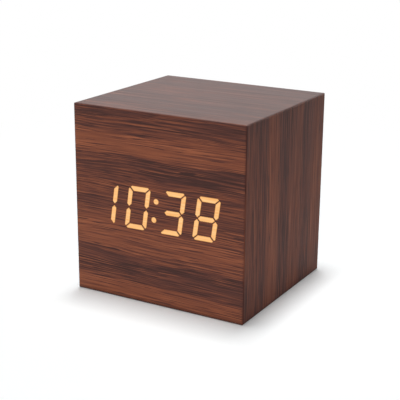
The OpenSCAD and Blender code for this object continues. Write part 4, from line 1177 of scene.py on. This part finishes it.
class CLOCK_OT_signs(bpy.types.Operator):
    """Print the signs on the back and raise the cells' marks inside the door"""

    bl_idname = "clock.signs"
    bl_label = "Signs"

    def execute(self, context):
        look = settings("cover")
        relief = look.sign_relief / MM
        size = look.sign_height / MM
        row = (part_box("up_key")[1].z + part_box("back_cover")[1].z) / 2 / MM
        middles = {
            node: (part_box(node)[0].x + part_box(node)[1].x) / 2 / MM
            for node in ("set_key", "up_key", "down_key", "power_socket")
        }
        white = moulded_plastic("sign_print", look.sign, roughness=0.6, grain=0.15, depth=4 * MICRON)

        # A ring, two triangles, and the sign of direct current: a line over three dashes
        stroke = 0.18 * size
        socket_x = middles["power_socket"]
        up_place = (middles["up_key"], COVER_Y, row - 0.1 * size)
        down_place = (middles["down_key"], COVER_Y, row + 0.1 * size)
        line_place = (socket_x, COVER_Y, row + 0.25 * size)
        signs = [
            patch("set_sign", 28, 0.45 * size, (middles["set_key"], COVER_Y, row), relief, hole=0.3 * size),
            patch("up_sign", 3, 0.58 * size, up_place, relief, turn=math.pi),
            patch("down_sign", 3, 0.58 * size, down_place, relief),
            bar("current_line", (1.5 * size, stroke), line_place, relief),
        ]
        for dash in (-0.55, 0, 0.55):
            place = (socket_x + dash * size, COVER_Y, row - 0.2 * size)
            signs.append(bar("current_dash", (0.4 * size, stroke), place, relief))
        cover_signs = joined(signs, "cover_signs")
        tongue = patch("door_sign", 3, 0.8 * size, (0, COVER_Y, DOOR_SIGN_Z), relief)
        for sheet, node in ((cover_signs, "back_cover"), (tongue, "battery_door")):
            paint(sheet, white)
            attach(sheet, BODY_OF[node])

        # An outline, a knob and the two signs for each cell, turned round from row to row
        wall = COVER_Y - DOOR_THICKNESS
        depth = -look.mark_relief / MM
        outline, line, knob, knob_x = (20, 6.4), 0.4, (1, 2.6), 10.4
        level, upright, sign_x = (2.2, 0.5), (0.5, 2.2), 6.8
        marks = []
        for z, way in zip(MARK_ROWS, (1, -1, 1)):
            marks += [
                bar("cell_outline", outline, (0, wall, z), depth, line),
                bar("cell_knob", knob, (way * knob_x, wall, z), depth),
                bar("cell_plus", level, (way * sign_x, wall, z), depth),
                bar("cell_plus_upright", upright, (way * sign_x, wall, z), depth),
                bar("cell_minus", level, (-way * sign_x, wall, z), depth),
            ]
        cell_marks = joined(marks, "door_cell_marks")
        paint(cell_marks, bpy.data.materials["cover_black"])
        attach(cell_marks, BODY_OF["battery_door"])
        return {"FINISHED"}


class CLOCK_OT_stage(bpy.types.Operator):
    """Set up the floor, the lamps, the room's light and the camera"""

    bl_idname = "clock.stage"
    bl_label = "Stage"

    def execute(self, context):
        look = settings("stage")
        lay_floor(look)
        light_room(look)
        hang_lamps(look)
        place_camera(look)
        context.scene.view_settings.view_transform = "Standard"
        return {"FINISHED"}


GROUPS = {
    "film": FilmSettings, "display": DisplaySettings, "cover": CoverSettings,
    "inside": InsideSettings, "stage": StageSettings,
}
STEPS = (
    CLOCK_OT_case, CLOCK_OT_display, CLOCK_OT_cover, CLOCK_OT_screws, CLOCK_OT_cells, CLOCK_OT_wiring,
    CLOCK_OT_boards, CLOCK_OT_signs, CLOCK_OT_stage,
)


class CLOCK_PT_panel(bpy.types.Panel):
    """Steps that dress the clock."""

    bl_idname = "CLOCK_PT_panel"
    bl_label = "Cube Alarm Clock"
    bl_space_type = "VIEW_3D"
    bl_region_type = "UI"
    bl_category = "Clock"

    def draw(self, context):
        for step in STEPS:
            self.layout.operator(step.bl_idname)
        for group, kind in GROUPS.items():
            box = self.layout.box()
            box.label(text=group.title())
            for setting in kind.__annotations__:
                box.prop(settings(group), setting)


def register():
    """Registers the settings, the operators and the panel."""
    for kind in (*GROUPS.values(), *STEPS, CLOCK_PT_panel):
        bpy.utils.register_class(kind)
    for group, kind in GROUPS.items():
        setattr(bpy.types.Scene, "clock_" + group, bpy.props.PointerProperty(type=kind))


def unregister():
    """Takes all that register added away again."""
    for group in GROUPS:
        delattr(bpy.types.Scene, "clock_" + group)
    for kind in reversed((*GROUPS.values(), *STEPS, CLOCK_PT_panel)):
        bpy.utils.unregister_class(kind)


def main():
    """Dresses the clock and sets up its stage."""
    register()
    bpy.ops.clock.case()
    bpy.ops.clock.display()
    bpy.ops.clock.cover()
    bpy.ops.clock.screws()
    bpy.ops.clock.cells()
    bpy.ops.clock.wiring()
    bpy.ops.clock.boards()
    bpy.ops.clock.signs()
    bpy.ops.clock.stage()
    pick()


if __name__ == "__main__":
    main()
